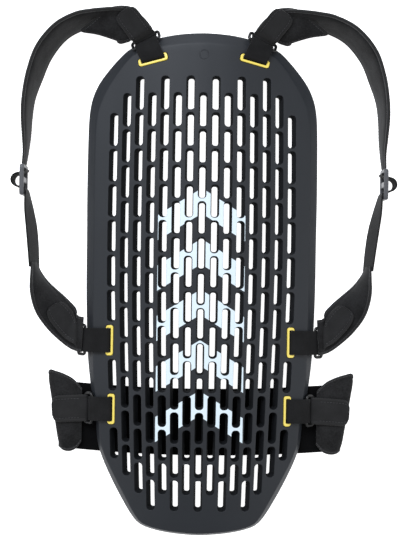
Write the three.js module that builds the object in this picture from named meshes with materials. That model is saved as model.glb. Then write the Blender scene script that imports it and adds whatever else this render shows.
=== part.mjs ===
// A back protector lying on a flat surface with its outer side up: one moulded foam panel with
// staggered slots, six strap eyelets, two padded shoulder straps with ladder sliders, two lower
// strap pads and a waist belt that runs under the panel from wing to wing.
// Millimetres. X is to the right, Y towards the neck end, Z up. The right half is described and
// each paired piece is mirrored to the left.
import * as THREE from "three";

// Foam panel
const panelLength = 520;
const neckEnd = 245;
const panelWidth = 239;
const crownHeight = 33;
const sideDrop = 22;
const middleThickness = 13;
const sideThickness = 10;
const rimThickness = 3.5;
const bevelWidth = 9;
const bevelDrop = 5.5;

// Slots of the panel: their columns and rows follow the panel's own size
const columnsInWidth = 17.84;
const rowsInLength = 13.9;
const columnPitch = panelWidth / columnsInWidth;
const rowPitch = panelLength / rowsInLength;
const rowClosing = rowPitch * 0.0032;
const firstSlotInset = rowPitch * 1.674;
const evenColumnShift = rowPitch * 0.46;
const slotRows = 12;
const slotRib = 5.8;
const slotWidth = columnPitch - slotRib;
const slotBridge = 3.9;
const slotCorner = 2.6;
const slotLand = 1.8;

// Eyelets, webbing and wire loops
const fit = 0.3;
const webWidth = 25;
const webThickness = 1.6;
const eyeletLength = 31.5;
const eyeletWidth = 7.8;
const eyeletBar = 3;
const eyeletOuterWall = 1.2;
const eyeletLip = 1;
const windowShift = (eyeletBar - eyeletOuterWall) / 2;
const tailLength = 12;
const sideTail = { clear: 0.5, droop: 1.4 };
const topTail = { clear: 0.9, droop: 1.8 };
const crestBulge = 1.5;
const wireDiameter = 3.2;
const wireSpacing = 8.5;
const loopCorner = 2.4;
const shoulderTabLength = 34;
const lowerTabLength = 48;
const beltTabLength = 28;

// Straps, sliders and belt
const strapThickness = 6;
const padWidth = 47;
const lowerPadWidth = 38;
const sliderThickness = 4.5;
const sliderLength = 32;
const sliderHeight = 30;
const beltWidth = 70;
const beltThickness = 3;
const wingThickness = 4;
const wingWidth = 88;

// The panel's outline from the neck end (along 1) to the lower end (along 0): half is a share of
// half the width, bevel a share of the bevel's width
const outlineRows = [
  { along: 1.0, half: 0.0, bevel: 1.45 },
  { along: 0.9975, half: 0.2, bevel: 1.42 },
  { along: 0.991, half: 0.377, bevel: 1.3 },
  { along: 0.981, half: 0.53, bevel: 1.12 },
  { along: 0.968, half: 0.65, bevel: 1.05 },
  { along: 0.954, half: 0.72, bevel: 1.1 },
  { along: 0.937, half: 0.777, bevel: 1.2 },
  { along: 0.905, half: 0.888, bevel: 1.4 },
  { along: 0.877, half: 0.955, bevel: 1.36 },
  { along: 0.849, half: 0.983, bevel: 1.15 },
  { along: 0.814, half: 0.994, bevel: 1.02 },
  { along: 0.737, half: 0.999, bevel: 1.0 },
  { along: 0.669, half: 1.0, bevel: 1.0 },
  { along: 0.589, half: 0.997, bevel: 1.0 },
  { along: 0.496, half: 0.995, bevel: 0.97 },
  { along: 0.432, half: 0.988, bevel: 0.9 },
  { along: 0.354, half: 0.972, bevel: 0.75 },
  { along: 0.304, half: 0.949, bevel: 0.58 },
  { along: 0.224, half: 0.895, bevel: 0.45 },
  { along: 0.178, half: 0.874, bevel: 0.45 },
  { along: 0.146, half: 0.829, bevel: 0.5 },
  { along: 0.108, half: 0.753, bevel: 0.6 },
  { along: 0.07, half: 0.664, bevel: 0.6 },
  { along: 0.034, half: 0.567, bevel: 0.5 },
  { along: 0.018, half: 0.496, bevel: 0.4 },
  { along: 0.0085, half: 0.37, bevel: 0.36 },
  { along: 0.0025, half: 0.192, bevel: 0.36 },
  { along: 0.0, half: 0.0, bevel: 0.36 },
];

// How far the surface falls from the middle line to the side, as a share of the drop
const sagRows = [
  { out: 0, sag: 0 },
  { out: 0.21, sag: 0.06 },
  { out: 0.33, sag: 0.155 },
  { out: 0.45, sag: 0.29 },
  { out: 0.56, sag: 0.435 },
  { out: 0.68, sag: 0.62 },
  { out: 0.78, sag: 0.77 },
  { out: 0.92, sag: 0.93 },
  { out: 1, sag: 1 },
];

// Height of the middle line and depth of the arch along the panel, as shares
const spineRows = [
  { along: 0, crown: 0.83, drop: 1 },
  { along: 0.1, crown: 0.95, drop: 1 },
  { along: 0.2, crown: 1.02, drop: 1 },
  { along: 0.3, crown: 1.04, drop: 1 },
  { along: 0.45, crown: 1.02, drop: 1.06 },
  { along: 0.65, crown: 1.02, drop: 1.1 },
  { along: 0.85, crown: 0.98, drop: 1.02 },
  { along: 1, crown: 0.94, drop: 0.96 },
];

// How wide the slot columns stand along the panel, as a share of their pitch
const spreadRows = [
  { along: 0, spread: 0.9 },
  { along: 0.2, spread: 0.945 },
  { along: 0.45, spread: 0.995 },
  { along: 0.65, spread: 1 },
  { along: 1, spread: 0.975 },
];

// Single points on the bare end above the slots, which keep its arch: out is a share of half the
// width, inset a distance from the neck end
const barePoints = [
  { out: -0.25, inset: 30 },
  { out: -0.12, inset: 24 },
  { out: 0.01, inset: 33 },
  { out: 0.13, inset: 25 },
  { out: 0.24, inset: 31 },
];

const materials = {
  foam: new THREE.MeshStandardMaterial({ color: 0x3a3f46, roughness: 0.75, metalness: 0 }),
  rim: new THREE.MeshStandardMaterial({ color: 0xf0dc6c, roughness: 0.4, metalness: 0 }),
  webbing: new THREE.MeshStandardMaterial({ color: 0x27272a, roughness: 0.85, metalness: 0 }),
  wire: new THREE.MeshStandardMaterial({ color: 0x0c0c0e, roughness: 0.25, metalness: 0 }),
  pad: new THREE.MeshStandardMaterial({ color: 0x2a2a2d, roughness: 0.9, metalness: 0 }),
  slider: new THREE.MeshStandardMaterial({ color: 0x5a5b60, roughness: 0.5, metalness: 0 }),
  belt: new THREE.MeshStandardMaterial({ color: 0x0a0a0c, roughness: 0.9, metalness: 0 }),
};

const up = new THREE.Vector3(0, 0, 1);
const halfPanel = panelWidth / 2;
const lowerEnd = neckEnd - panelLength;
const protector = new THREE.Group();

// A smooth value of one column of a table at a place between its rows
function valueAt(rows, key, place, column) {
  const last = rows.length - 1;
  const rising = rows[last][key] > rows[0][key];
  let i = 0;
  while (i < last - 1 && (rising ? rows[i + 1][key] < place : rows[i + 1][key] > place)) i += 1;
  const a = rows[i];
  const b = rows[i + 1];
  const before = rows[Math.max(i - 1, 0)];
  const after = rows[Math.min(i + 2, last)];
  const span = b[key] - a[key];
  const t = THREE.MathUtils.clamp((place - a[key]) / span, 0, 1);
  const slopeA = ((b[column] - before[column]) / (b[key] - before[key])) * span;
  const slopeB = ((after[column] - a[column]) / (after[key] - a[key])) * span;
  return (
    (2 * t ** 3 - 3 * t ** 2 + 1) * a[column] +
    (t ** 3 - 2 * t ** 2 + t) * slopeA +
    (3 * t ** 2 - 2 * t ** 3) * b[column] +
    (t ** 3 - t ** 2) * slopeB
  );
}

// Makes a closed mesh from points and triangles, mirrored for the left side and facing out
function addSolid(name, points, triangles, material, side = 1) {
  const place = points.map((p) => new THREE.Vector3(p.x * side, p.y, p.z));
  let volume = 0;
  for (const [a, b, c] of triangles) {
    volume += place[a].dot(place[b].clone().cross(place[c]));
  }
  const geometry = new THREE.BufferGeometry().setFromPoints(place);
  geometry.setIndex(triangles.flatMap(([a, b, c]) => (volume > 0 ? [a, b, c] : [a, c, b])));
  geometry.computeVertexNormals();
  const mesh = new THREE.Mesh(geometry, material);
  mesh.name = name;
  protector.add(mesh);
}

// Quads between two rings of points that start at the given places in the list
function band(triangles, first, second, count) {
  for (let i = 0; i < count; i += 1) {
    const next = (i + 1) % count;
    triangles.push([first + i, second + i, second + next]);
    triangles.push([first + i, second + next, first + next]);
  }
}

function headingVector(turn) {
  return new THREE.Vector3(Math.cos(turn), Math.sin(turn), 0);
}

// A loop's directions: the way its strap leaves, the way along its bars, and the way out of it
function loopFrame(turn, lean) {
  const heading = headingVector(turn);
  const level = headingVector(turn + Math.PI / 2);
  const across = level.multiplyScalar(Math.cos(lean)).addScaledVector(up, Math.sin(lean));
  const rise = heading.clone().cross(across);
  const run = heading.clone().multiplyScalar(Math.cos(loopFall)).addScaledVector(rise, -Math.sin(loopFall));
  return { heading, across, rise, run };
}

// Turns the shared edges of flat triangles until each is the short way across, so that the
// triangles follow a curved surface closely
function relax(flat, triangles) {
  const cross = (a, b, c) => flat[b].clone().sub(flat[a]).cross(flat[c].clone().sub(flat[a]));
  const angleAt = (p, a, b) => {
    const first = flat[a].clone().sub(flat[p]);
    const second = flat[b].clone().sub(flat[p]);
    return Math.acos(THREE.MathUtils.clamp(first.dot(second) / (first.length() * second.length()), -1, 1));
  };
  const mostPasses = 60;
  for (let pass = 0, turned = true; turned && pass < mostPasses; pass += 1) {
    turned = false;
    const owner = new Map();
    const busy = new Set();
    triangles.forEach((corners, i) => {
      corners.forEach((a, k) => owner.set(`${a},${corners[(k + 1) % 3]}`, [i, corners[(k + 2) % 3]]));
    });
    for (const [edge, [i, c]] of owner) {
      const [a, b] = edge.split(",").map(Number);
      const [j, d] = owner.get(`${b},${a}`) ?? [-1, -1];
      if (j < 0 || busy.has(i) || busy.has(j)) continue;
      if (angleAt(c, a, b) + angleAt(d, a, b) <= Math.PI + 1e-6) continue;
      if (cross(a, d, c) <= 0 || cross(d, b, c) <= 0) continue;
      triangles[i] = [a, d, c];
      triangles[j] = [d, b, c];
      busy.add(i).add(j);
      turned = true;
    }
  }
  return triangles;
}

// Panel surface
function alongAt(y) {
  return (y - lowerEnd) / panelLength;
}

function outlineHalfAt(y) {
  return halfPanel * valueAt(outlineRows, "along", alongAt(y), "half");
}

function baseHeight(x, y) {
  const along = alongAt(y);
  const sag = valueAt(sagRows, "out", Math.abs(x) / halfPanel, "sag");
  const crown = crownHeight * valueAt(spineRows, "along", along, "crown");
  return crown - sideDrop * valueAt(spineRows, "along", along, "drop") * sag;
}

function panelNormal(x, y) {
  const step = 0.5;
  const dx = (baseHeight(x + step, y) - baseHeight(x - step, y)) / (2 * step);
  const dy = (baseHeight(x, y + step) - baseHeight(x, y - step)) / (2 * step);
  return new THREE.Vector3(-dx, -dy, 1).normalize();
}

function thicknessAt(x) {
  return middleThickness - (middleThickness - sideThickness) * (x / halfPanel) ** 2;
}

// A point above (or, with a negative height, inside) the panel's unbevelled outer surface
function onPanel(x, y, height) {
  return new THREE.Vector3(x, y, baseHeight(x, y)).addScaledVector(panelNormal(x, y), height);
}

// The outline and, inside it, the line where the bevel starts, both counterclockwise from above
function panelRings() {
  const right = outlineRows.map((row) => ({
    point: new THREE.Vector2(halfPanel * row.half, lowerEnd + panelLength * row.along),
    bevel: bevelWidth * row.bevel,
  }));
  const left = right.slice(1, -1).map(({ point, bevel }) => ({
    point: new THREE.Vector2(-point.x, point.y),
    bevel,
  }));
  const outer = [...left, ...right.reverse()];
  const count = outer.length;
  const inner = outer.map(({ point, bevel }, i) => {
    const run = outer[(i + 1) % count].point.clone().sub(outer[(i + count - 1) % count].point);
    return point.clone().addScaledVector(new THREE.Vector2(-run.y, run.x).normalize(), bevel);
  });
  return { outer: outer.map(({ point }) => point), inner };
}

// A long outline with cut corners, clockwise from above: u runs across it and v along it
function longOutline(width, length, corner) {
  const w = width / 2;
  const l = length / 2;
  return [
    [w, l - corner],
    [w, corner - l],
    [w - corner, -l],
    [corner - w, -l],
    [-w, corner - l],
    [-w, l - corner],
    [corner - w, l],
    [w - corner, l],
  ];
}

// The panel's own directions at a place: the way a strap leaves, the way across it, and out of it
function panelFrame(x, y, turn) {
  const rise = panelNormal(x, y);
  const heading = headingVector(turn);
  heading.addScaledVector(rise, -heading.dot(rise)).normalize();
  return { base: onPanel(x, y, 0), heading, across: rise.clone().cross(heading), rise };
}

// A straight-sided hole square to the surface at its middle: its ring above and its ring below
function straightHole(x, y, turn, width, length, corner) {
  const { base, heading, across, rise } = panelFrame(x, y, turn);
  const top = longOutline(width, length, corner).map(([u, v]) => {
    const point = base.clone().addScaledVector(heading, u).addScaledVector(across, v);
    for (let pass = 0; pass < 4; pass += 1) {
      point.addScaledVector(rise, (baseHeight(point.x, point.y) - point.z) / rise.z);
    }
    return point;
  });
  const foot = top.map((point) => point.clone().addScaledVector(rise, -thicknessAt(x)));
  return { top, foot, flat: top.map((point) => new THREE.Vector2(point.x, point.y)) };
}

function insidePolygon(point, polygon, land) {
  let inside = false;
  for (let i = 0, j = polygon.length - 1; i < polygon.length; j = i, i += 1) {
    const a = polygon[i];
    const b = polygon[j];
    const crosses = a.y > point.y !== b.y > point.y;
    if (crosses && point.x < ((b.x - a.x) * (point.y - a.y)) / (b.y - a.y) + a.x) inside = !inside;
    const share = point.clone().sub(a).dot(b.clone().sub(a)) / a.distanceToSquared(b);
    const nearest = a.clone().lerp(b, THREE.MathUtils.clamp(share, 0, 1));
    if (point.distanceTo(nearest) < land) return false;
  }
  return inside;
}

function slotPlace(column, row) {
  const shift = column % 2 === 0 ? evenColumnShift : 0;
  const y = neckEnd - firstSlotInset - shift - rowPitch * row + rowClosing * row * (row - 1);
  return new THREE.Vector2(column * columnPitch * valueAt(spreadRows, "along", alongAt(y), "spread"), y);
}

// Eyelets on the right half: the place of the hole, the way its strap leaves, and the strap's loop
const outerColumn = 7;
const sideTurn = 0;
const sideLoopOut = 3.4;
const sideLoopHigh = 4.6;
const loopFall = THREE.MathUtils.degToRad(33);
const topEyelet = { halfShare: 0.435, inset: 26 };
const topTurn = THREE.MathUtils.degToRad(76.6);
const topLoopTurn = THREE.MathUtils.degToRad(65);
const topLoopLean = THREE.MathUtils.degToRad(12);
const topLoopReach = 16;
const topLoopHigh = 24.5;

function sideAnchor(name, row) {
  const hole = slotPlace(outerColumn, row);
  const edge = outlineHalfAt(hole.y);
  const edgeHeight = baseHeight(edge, hole.y) - bevelDrop;
  const bar = new THREE.Vector3(edge + sideLoopOut, hole.y, edgeHeight + sideLoopHigh);
  return { name, hole, turn: sideTurn, bar, tail: sideTail, ...loopFrame(sideTurn, 0) };
}

function topAnchor() {
  const hole = new THREE.Vector2(halfPanel * topEyelet.halfShare, neckEnd - topEyelet.inset);
  const reach = new THREE.Vector2(topLoopReach, 0).rotateAround(new THREE.Vector2(), topLoopTurn);
  const bar = new THREE.Vector3(hole.x + reach.x, hole.y + reach.y, topLoopHigh);
  const frame = loopFrame(topLoopTurn, topLoopLean);
  return { name: "top", hole, turn: topTurn, bar, tail: topTail, ...frame };
}

const midRow = 7;
const lowRow = 9;
const anchors = { top: topAnchor(), middle: sideAnchor("middle", midRow), low: sideAnchor("low", lowRow) };

// The foam panel, cut through at every slot and eyelet
function buildPanel() {
  const { outer, inner } = panelRings();
  const holes = [];
  for (let column = -outerColumn; column <= outerColumn; column += 1) {
    for (let row = 0; row < slotRows; row += 1) {
      const here = slotPlace(column, row);
      const ahead = slotPlace(column, row + 1);
      const turn = Math.atan2(ahead.x - here.x, here.y - ahead.y);
      const length = here.y - ahead.y - slotBridge;
      const slot = straightHole(here.x, here.y, turn, slotWidth, length, slotCorner);
      const isEyelet = Math.abs(column) === outerColumn && (row === midRow || row === lowRow);
      if (!isEyelet && slot.flat.every((p) => insidePolygon(p, inner, slotLand))) holes.push(slot);
    }
  }
  for (const { hole, turn } of Object.values(anchors)) {
    for (const side of [1, -1]) {
      const lean = side > 0 ? turn : Math.PI - turn;
      const width = eyeletWidth + 2 * fit;
      holes.push(straightHole(side * hole.x, hole.y, lean, width, eyeletLength + 2 * fit, slotCorner));
    }
  }
  const bare = barePoints.map(({ out, inset }) => new THREE.Vector2(out * halfPanel, neckEnd - inset));
  const flat = [...inner, ...holes.flatMap((hole) => hole.flat), ...bare];
  const onFace = (ring, depth) => ring.map((p) => onPanel(p.x, p.y, -depth * thicknessAt(p.x)));
  const points = [...onFace(inner, 0), ...holes.flatMap((hole) => hole.top), ...onFace(bare, 0)];
  const under = points.length;
  points.push(...onFace(inner, 1), ...holes.flatMap((hole) => hole.foot), ...onFace(bare, 1));
  const rimTop = points.length;
  const rimAt = (p, drop) => new THREE.Vector3(p.x, p.y, baseHeight(p.x, p.y) - drop);
  points.push(...outer.map((p) => rimAt(p, bevelDrop)));
  const rimFoot = points.length;
  points.push(...outer.map((p) => rimAt(p, bevelDrop + rimThickness)));

  const triangles = [];
  const gaps = [...holes.map((hole) => hole.flat), ...bare.map((p) => [p])];
  const upward = THREE.ShapeUtils.triangulateShape(inner, gaps).map(([a, b, c]) => {
    const turning = flat[b].clone().sub(flat[a]).cross(flat[c].clone().sub(flat[a]));
    return turning > 0 ? [a, b, c] : [a, c, b];
  });
  for (const [a, b, c] of relax(flat, upward)) {
    triangles.push([a, b, c]);
    triangles.push([under + a, under + c, under + b]);
  }
  band(triangles, 0, rimTop, outer.length);
  band(triangles, rimTop, rimFoot, outer.length);
  band(triangles, rimFoot, under, outer.length);
  let start = inner.length;
  for (const { flat: ring } of holes) {
    band(triangles, start, under + start, ring.length);
    start += ring.length;
  }
  addSolid("foam_panel", points, triangles, materials.foam);
}

// Sweeps a flat section along stations that hold a centre, two directions and two sizes
function addSweep(name, stations, section, material, side) {
  const points = [];
  const triangles = [];
  for (const { centre, across, through, width, thick } of stations) {
    for (const [u, v] of section) {
      points.push(centre.clone().addScaledVector(across, u * width).addScaledVector(through, v * thick));
    }
  }
  for (let i = 0; i < stations.length - 1; i += 1) {
    band(triangles, i * section.length, (i + 1) * section.length, section.length);
  }
  const lastRing = (stations.length - 1) * section.length;
  for (let k = 1; k < section.length - 1; k += 1) {
    triangles.push([0, k, k + 1]);
    triangles.push([lastRing, lastRing + k + 1, lastRing + k]);
  }
  addSolid(name, points, triangles, material, side);
}

// Sections as shares of the width and the thickness
const webSection = [[0.5, -0.5], [0.5, 0.5], [-0.5, 0.5], [-0.5, -0.5]];
const padSection = [
  [0.5, -0.25], [0.5, 0.25], [0.42, 0.34], [0.3, 0.5], [-0.3, 0.5], [-0.42, 0.34],
  [-0.5, 0.25], [-0.5, -0.25], [-0.42, -0.34], [-0.3, -0.5], [0.3, -0.5], [0.42, -0.34],
];

// Stations of a flat strip through points that each carry the direction across the strip
function stripStations(places, width, thick) {
  return places.map(({ point, across, narrow = 1 }, i) => {
    const before = places[Math.max(i - 1, 0)].point;
    const after = places[Math.min(i + 1, places.length - 1)].point;
    const through = across.clone().cross(after.clone().sub(before)).normalize();
    return { centre: point, across, through, width: width * narrow, thick };
  });
}

// Points around a bar, from one angle to another, in the plane square to the loop's bars
function aroundBar(bar, { heading, rise }, from, to) {
  const radius = wireDiameter / 2 + fit + webThickness / 2;
  const steps = 5;
  return Array.from({ length: steps + 1 }, (_, i) => {
    const angle = THREE.MathUtils.degToRad(from + ((to - from) * i) / steps);
    const point = bar.clone().addScaledVector(heading, radius * Math.cos(angle));
    return point.addScaledVector(rise, radius * Math.sin(angle));
  });
}

// The wire loop, a rounded rectangle of round wire
function buildLoop({ name, bar, across, run: along }, side) {
  const centre = bar.clone().addScaledVector(along, wireSpacing / 2);
  const halfAcross = webWidth / 2 + 4 * fit + wireDiameter / 2;
  const halfAlong = wireSpacing / 2;
  const facing = across.clone().cross(along);
  const sides = 6;
  const points = [];
  const ring = [];
  for (const [u, v, from] of [[1, 1, 0], [-1, 1, 90], [-1, -1, 180], [1, -1, 270]]) {
    for (const bend of [0, 45, 90]) {
      const angle = THREE.MathUtils.degToRad(from + bend);
      const outward = across.clone().multiplyScalar(Math.cos(angle));
      outward.addScaledVector(along, Math.sin(angle));
      const middle = centre
        .clone()
        .addScaledVector(across, u * (halfAcross - loopCorner))
        .addScaledVector(along, v * (halfAlong - loopCorner))
        .addScaledVector(outward, loopCorner);
      ring.push({ middle, outward });
    }
  }
  for (const { middle, outward } of ring) {
    for (let k = 0; k < sides; k += 1) {
      const angle = (2 * Math.PI * k) / sides;
      const reach = wireDiameter / 2;
      const point = middle.clone().addScaledVector(outward, reach * Math.cos(angle));
      points.push(point.addScaledVector(facing, reach * Math.sin(angle)));
    }
  }
  const triangles = [];
  for (let i = 0; i < ring.length; i += 1) {
    band(triangles, i * sides, ((i + 1) % ring.length) * sides, sides);
  }
  addSolid(`loop_${name}_${sideName(side)}`, points, triangles, materials.wire, side);
}

function sideName(side) {
  return side > 0 ? "right" : "left";
}

// The eyelet's liner: a bar on the inner side, a thin wall on the outer side, a low lip above
function buildEyelet({ name, hole, turn }, side) {
  const { base, heading, across, rise } = panelFrame(hole.x, hole.y, turn);
  const windowWidth = eyeletWidth - eyeletBar - eyeletOuterWall;
  const outside = longOutline(eyeletWidth, eyeletLength, slotCorner);
  const opening = longOutline(windowWidth, webWidth + 2 * fit, windowWidth / 4);
  const window = opening.map(([u, v]) => [u + windowShift, v]);
  const foot = -thicknessAt(hole.x) - eyeletLip / 2;
  const place = ([u, v], height) =>
    base.clone().addScaledVector(heading, u).addScaledVector(across, v).addScaledVector(rise, height);
  const rings = [[outside, eyeletLip], [outside, foot], [window, foot], [window, eyeletLip]];
  const points = rings.flatMap(([ring, height]) => ring.map((p) => place(p, height)));
  const triangles = [];
  const count = outside.length;
  for (let ring = 0; ring < rings.length; ring += 1) {
    band(triangles, ring * count, ((ring + 1) % rings.length) * count, count);
  }
  addSolid(`eyelet_${name}_${sideName(side)}`, points, triangles, materials.rim, side);
}

// Webbing from a tail under the panel, up through the eyelet, over the edge and round the loop
function buildAnchorWebbing(anchor, side) {
  const { name, hole, turn, bar, tail } = anchor;
  const { base, heading, across, rise } = panelFrame(hole.x, hole.y, turn);
  const lift = webThickness / 2 + fit;
  const at = (u, height) => base.clone().addScaledVector(heading, u).addScaledVector(rise, height);
  const underside = -thicknessAt(hole.x) - tail.clear - lift;
  const middle = windowShift;
  const bend = 1.2;
  const places = [
    { point: at(middle - tailLength, underside - tail.droop), across },
    { point: at(middle - 2 * bend, underside), across },
    { point: at(middle - bend / 2, underside + bend / 2), across },
    { point: at(middle, underside + 2 * bend), across },
    { point: at(middle, eyeletLip - bend), across },
    { point: at(middle + bend / 3, eyeletLip + bend / 2), across },
  ];
  const round = aroundBar(bar, anchor, 76, -80);
  const crest = at(middle + 2 * bend, eyeletLip + lift + bend / 3);
  const steps = 4;
  for (let i = 0; i < steps; i += 1) {
    const share = i / steps;
    const point = crest.clone().lerp(round[0], share);
    point.addScaledVector(rise, crestBulge * Math.sin(Math.PI * share));
    places.push({ point, across: across.clone().lerp(anchor.across, share).normalize() });
  }
  places.push(...round.map((point) => ({ point, across: anchor.across })));
  const last = round.at(-1).clone().addScaledVector(anchor.heading, -bend);
  places.push({ point: last, across: anchor.across });
  const stations = stripStations(places, webWidth, webThickness);
  addSweep(`anchor_webbing_${name}_${sideName(side)}`, stations, webSection, materials.webbing, side);
}

// Stations of a padded strap: it starts at its loop, and outerHand says on which hand its outer
// edge lies; tilt turns the outer edge up, skew turns a section in plan, and lift raises the strap
// off the surface below it
function padStations(rows, outerHand, steps) {
  const reach = rows.map((row, i) => ({ ...row, place: i }));
  const last = rows.length - 1;
  const at = (place, column) => valueAt(reach, "place", place, column);
  return Array.from({ length: steps + 1 }, (_, i) => {
    const place = (last * i) / steps;
    const step = 0.05;
    const back = Math.max(place - step, 0);
    const ahead = Math.min(place + step, last);
    const run = new THREE.Vector3(at(ahead, "x") - at(back, "x"), at(ahead, "y") - at(back, "y"), 0);
    run.normalize();
    const out = new THREE.Vector3(-run.y * outerHand, run.x * outerHand, 0);
    out.applyAxisAngle(up, THREE.MathUtils.degToRad(at(place, "skew")));
    const tilt = THREE.MathUtils.degToRad(at(place, "tilt"));
    const width = at(place, "width");
    const thick = at(place, "thick");
    const height = (width / 2) * Math.sin(tilt) + (thick / 2) * Math.cos(tilt) + at(place, "lift");
    return {
      centre: new THREE.Vector3(at(place, "x"), at(place, "y"), height),
      across: out.clone().multiplyScalar(Math.cos(tilt)).addScaledVector(up, Math.sin(tilt)),
      through: up.clone().multiplyScalar(Math.cos(tilt)).addScaledVector(out, -Math.sin(tilt)),
      width,
      thick,
    };
  });
}

// The hook-and-loop tab: under the loop's outer bar, round it and back along the top of the pad
function buildTab(name, length, anchor, pad, side) {
  const outerBar = anchor.bar.clone().addScaledVector(anchor.run, wireSpacing);
  const places = aroundBar(outerBar, anchor, 285, 90).map((point) => ({ point, across: anchor.across }));
  const narrowEnd = [
    { share: 0.2, narrow: 1 },
    { share: 0.38, narrow: 1 },
    { share: 0.56, narrow: 1 },
    { share: 0.72, narrow: 1 },
    { share: 0.86, narrow: 0.94 },
    { share: 0.95, narrow: 0.76 },
    { share: 1, narrow: 0.42 },
  ];
  for (const { share, narrow } of narrowEnd) {
    const { centre, across, through, thick } = stationAt(pad, share * length);
    const point = centre.clone().addScaledVector(through, thick / 2 + 2 * fit + webThickness / 2);
    const facing = across.dot(anchor.across) < 0 ? across.clone().negate() : across;
    places.push({ point, across: facing, narrow });
  }
  const stations = stripStations(places, webWidth, webThickness);
  addSweep(`${name}_${sideName(side)}`, stations, webSection, materials.webbing, side);
}

// The station at a distance along a pad from its loop end
function stationAt(stations, distance) {
  let gone = 0;
  for (let i = 0; i < stations.length - 1; i += 1) {
    const a = stations[i];
    const b = stations[i + 1];
    const step = a.centre.distanceTo(b.centre);
    if (gone + step >= distance || i === stations.length - 2) {
      const share = THREE.MathUtils.clamp((distance - gone) / step, 0, 1);
      return {
        centre: a.centre.clone().lerp(b.centre, share),
        across: a.across.clone().lerp(b.across, share).normalize(),
        through: a.through.clone().lerp(b.through, share).normalize(),
        thick: THREE.MathUtils.lerp(a.thick, b.thick, share),
      };
    }
    gone += step;
  }
  return stations.at(-1);
}

// A row of a pad, given from its loop's inner bar, with its sizes as shares of a width and a thickness
function placedRow(row, bar, width, thick) {
  return { ...row, x: bar.x + row.x, y: bar.y + row.y, width: row.width * width, thick: row.thick * thick };
}

// Shoulder strap: flat at its loop, then twisted to stand on its edge down to the slider
const shoulderRows = [
  { x: 7.3, y: 9.5, lift: 12, skew: 36, tilt: 12, width: 0.64, thick: 0.8 },
  { x: 16.3, y: 14, lift: 10, skew: 16, tilt: 22, width: 0.82, thick: 1 },
  { x: 28.3, y: 17.5, lift: 6, skew: 0, tilt: 38, width: 0.94, thick: 1 },
  { x: 41.3, y: 20.5, lift: 2, skew: 0, tilt: 53, width: 1, thick: 1 },
  { x: 55.3, y: 23.5, lift: 0, skew: 0, tilt: 66, width: 1, thick: 1 },
  { x: 71.3, y: 22.5, lift: 0, skew: 0, tilt: 74, width: 1, thick: 1 },
  { x: 91.3, y: 11.5, lift: 0, skew: 0, tilt: 76, width: 1, thick: 1 },
  { x: 107, y: -10, lift: 0, skew: 0, tilt: 77, width: 1, thick: 1 },
  { x: 116.3, y: -33.5, lift: 0, skew: 0, tilt: 79, width: 1, thick: 1 },
  { x: 122.3, y: -55.5, lift: 0, skew: 0, tilt: 84, width: 1, thick: 1 },
  { x: 124.8, y: -75.5, lift: 0, skew: 0, tilt: 86, width: 0.97, thick: 1 },
  { x: 125.6, y: -95.5, lift: 0, skew: 0, tilt: 88, width: 0.88, thick: 0.9 },
  { x: 127.1, y: -112.5, lift: 0, skew: 0, tilt: 90, width: 0.68, thick: 0.7 },
  { x: 129.3, y: -125.9, lift: 0, skew: 0, tilt: 90, width: 0.54, thick: 0.5 },
].map((row) => placedRow(row, anchors.top.bar, padWidth, strapThickness));

// Lower strap pad: flat at its loop on the panel's side, rising to its edge at the adjuster
const lowerPadRows = [
  { x: 9.7, y: 5.5, lift: 0.4, skew: -40, tilt: 3, width: 0.86, thick: 0.85 },
  { x: 17.5, y: 13.5, lift: 0, skew: -20, tilt: 10, width: 0.96, thick: 1 },
  { x: 27, y: 24.5, lift: 0, skew: 0, tilt: 20, width: 1, thick: 1 },
  { x: 37.5, y: 38, lift: 0, skew: 0, tilt: 36, width: 1, thick: 1 },
  { x: 46.5, y: 54, lift: 0, skew: 0, tilt: 58, width: 0.9, thick: 1 },
  { x: 52, y: 70.5, lift: 0, skew: 0, tilt: 78, width: 0.74, thick: 0.8 },
  { x: 53.5, y: 80.5, lift: 0, skew: 0, tilt: 86, width: 0.68, thick: 0.55 },
].map((row) => placedRow(row, anchors.middle.bar, lowerPadWidth, strapThickness));

// Belt wing: widens from its loop, folds under at the outer end and comes back to the belt
const wingRows = [
  { x: 10.9, y: -0.3, z: 7.2, turn: 0, width: 0.4, thick: 0.8 },
  { x: 17.7, y: -2.9, z: 7.6, turn: 3, width: 0.68, thick: 1 },
  { x: 25.7, y: -3.9, z: 8, turn: 7, width: 0.92, thick: 1 },
  { x: 33.7, y: -3.4, z: 8, turn: 9, width: 1, thick: 1 },
  { x: 39.7, y: -2.9, z: 7.6, turn: 10, width: 0.98, thick: 1 },
  { x: 43.1, y: -2.9, z: 5.2, turn: 8, width: 0.93, thick: 0.9 },
  { x: 41.3, y: -3.9, z: 2.4, turn: 6, width: 0.87, thick: 0.85 },
  { x: 35.7, y: -5.9, z: 1.9, turn: 0, width: 0.84, thick: 0.85 },
].map((row) => placedRow(row, anchors.low.bar, wingWidth, wingThickness));

// The belt reaches from wing to wing
const beltMiddle = anchors.low.bar.y - 7.5;
const beltEnd = anchors.low.bar.x + 35.4;
const beltBow = 7;

function buildShoulder(side) {
  const stations = padStations(shoulderRows, 1, 19);
  addSweep(`shoulder_strap_${sideName(side)}`, stations, padSection, materials.pad, side);
  buildTab("shoulder_tab", shoulderTabLength, anchors.top, stations, side);
}

function buildLowerPad(side) {
  const stations = padStations(lowerPadRows, -1, 10);
  addSweep(`lower_pad_${sideName(side)}`, stations, padSection, materials.pad, side);
  buildTab("lower_tab", lowerTabLength, anchors.middle, stations, side);
}

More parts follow.
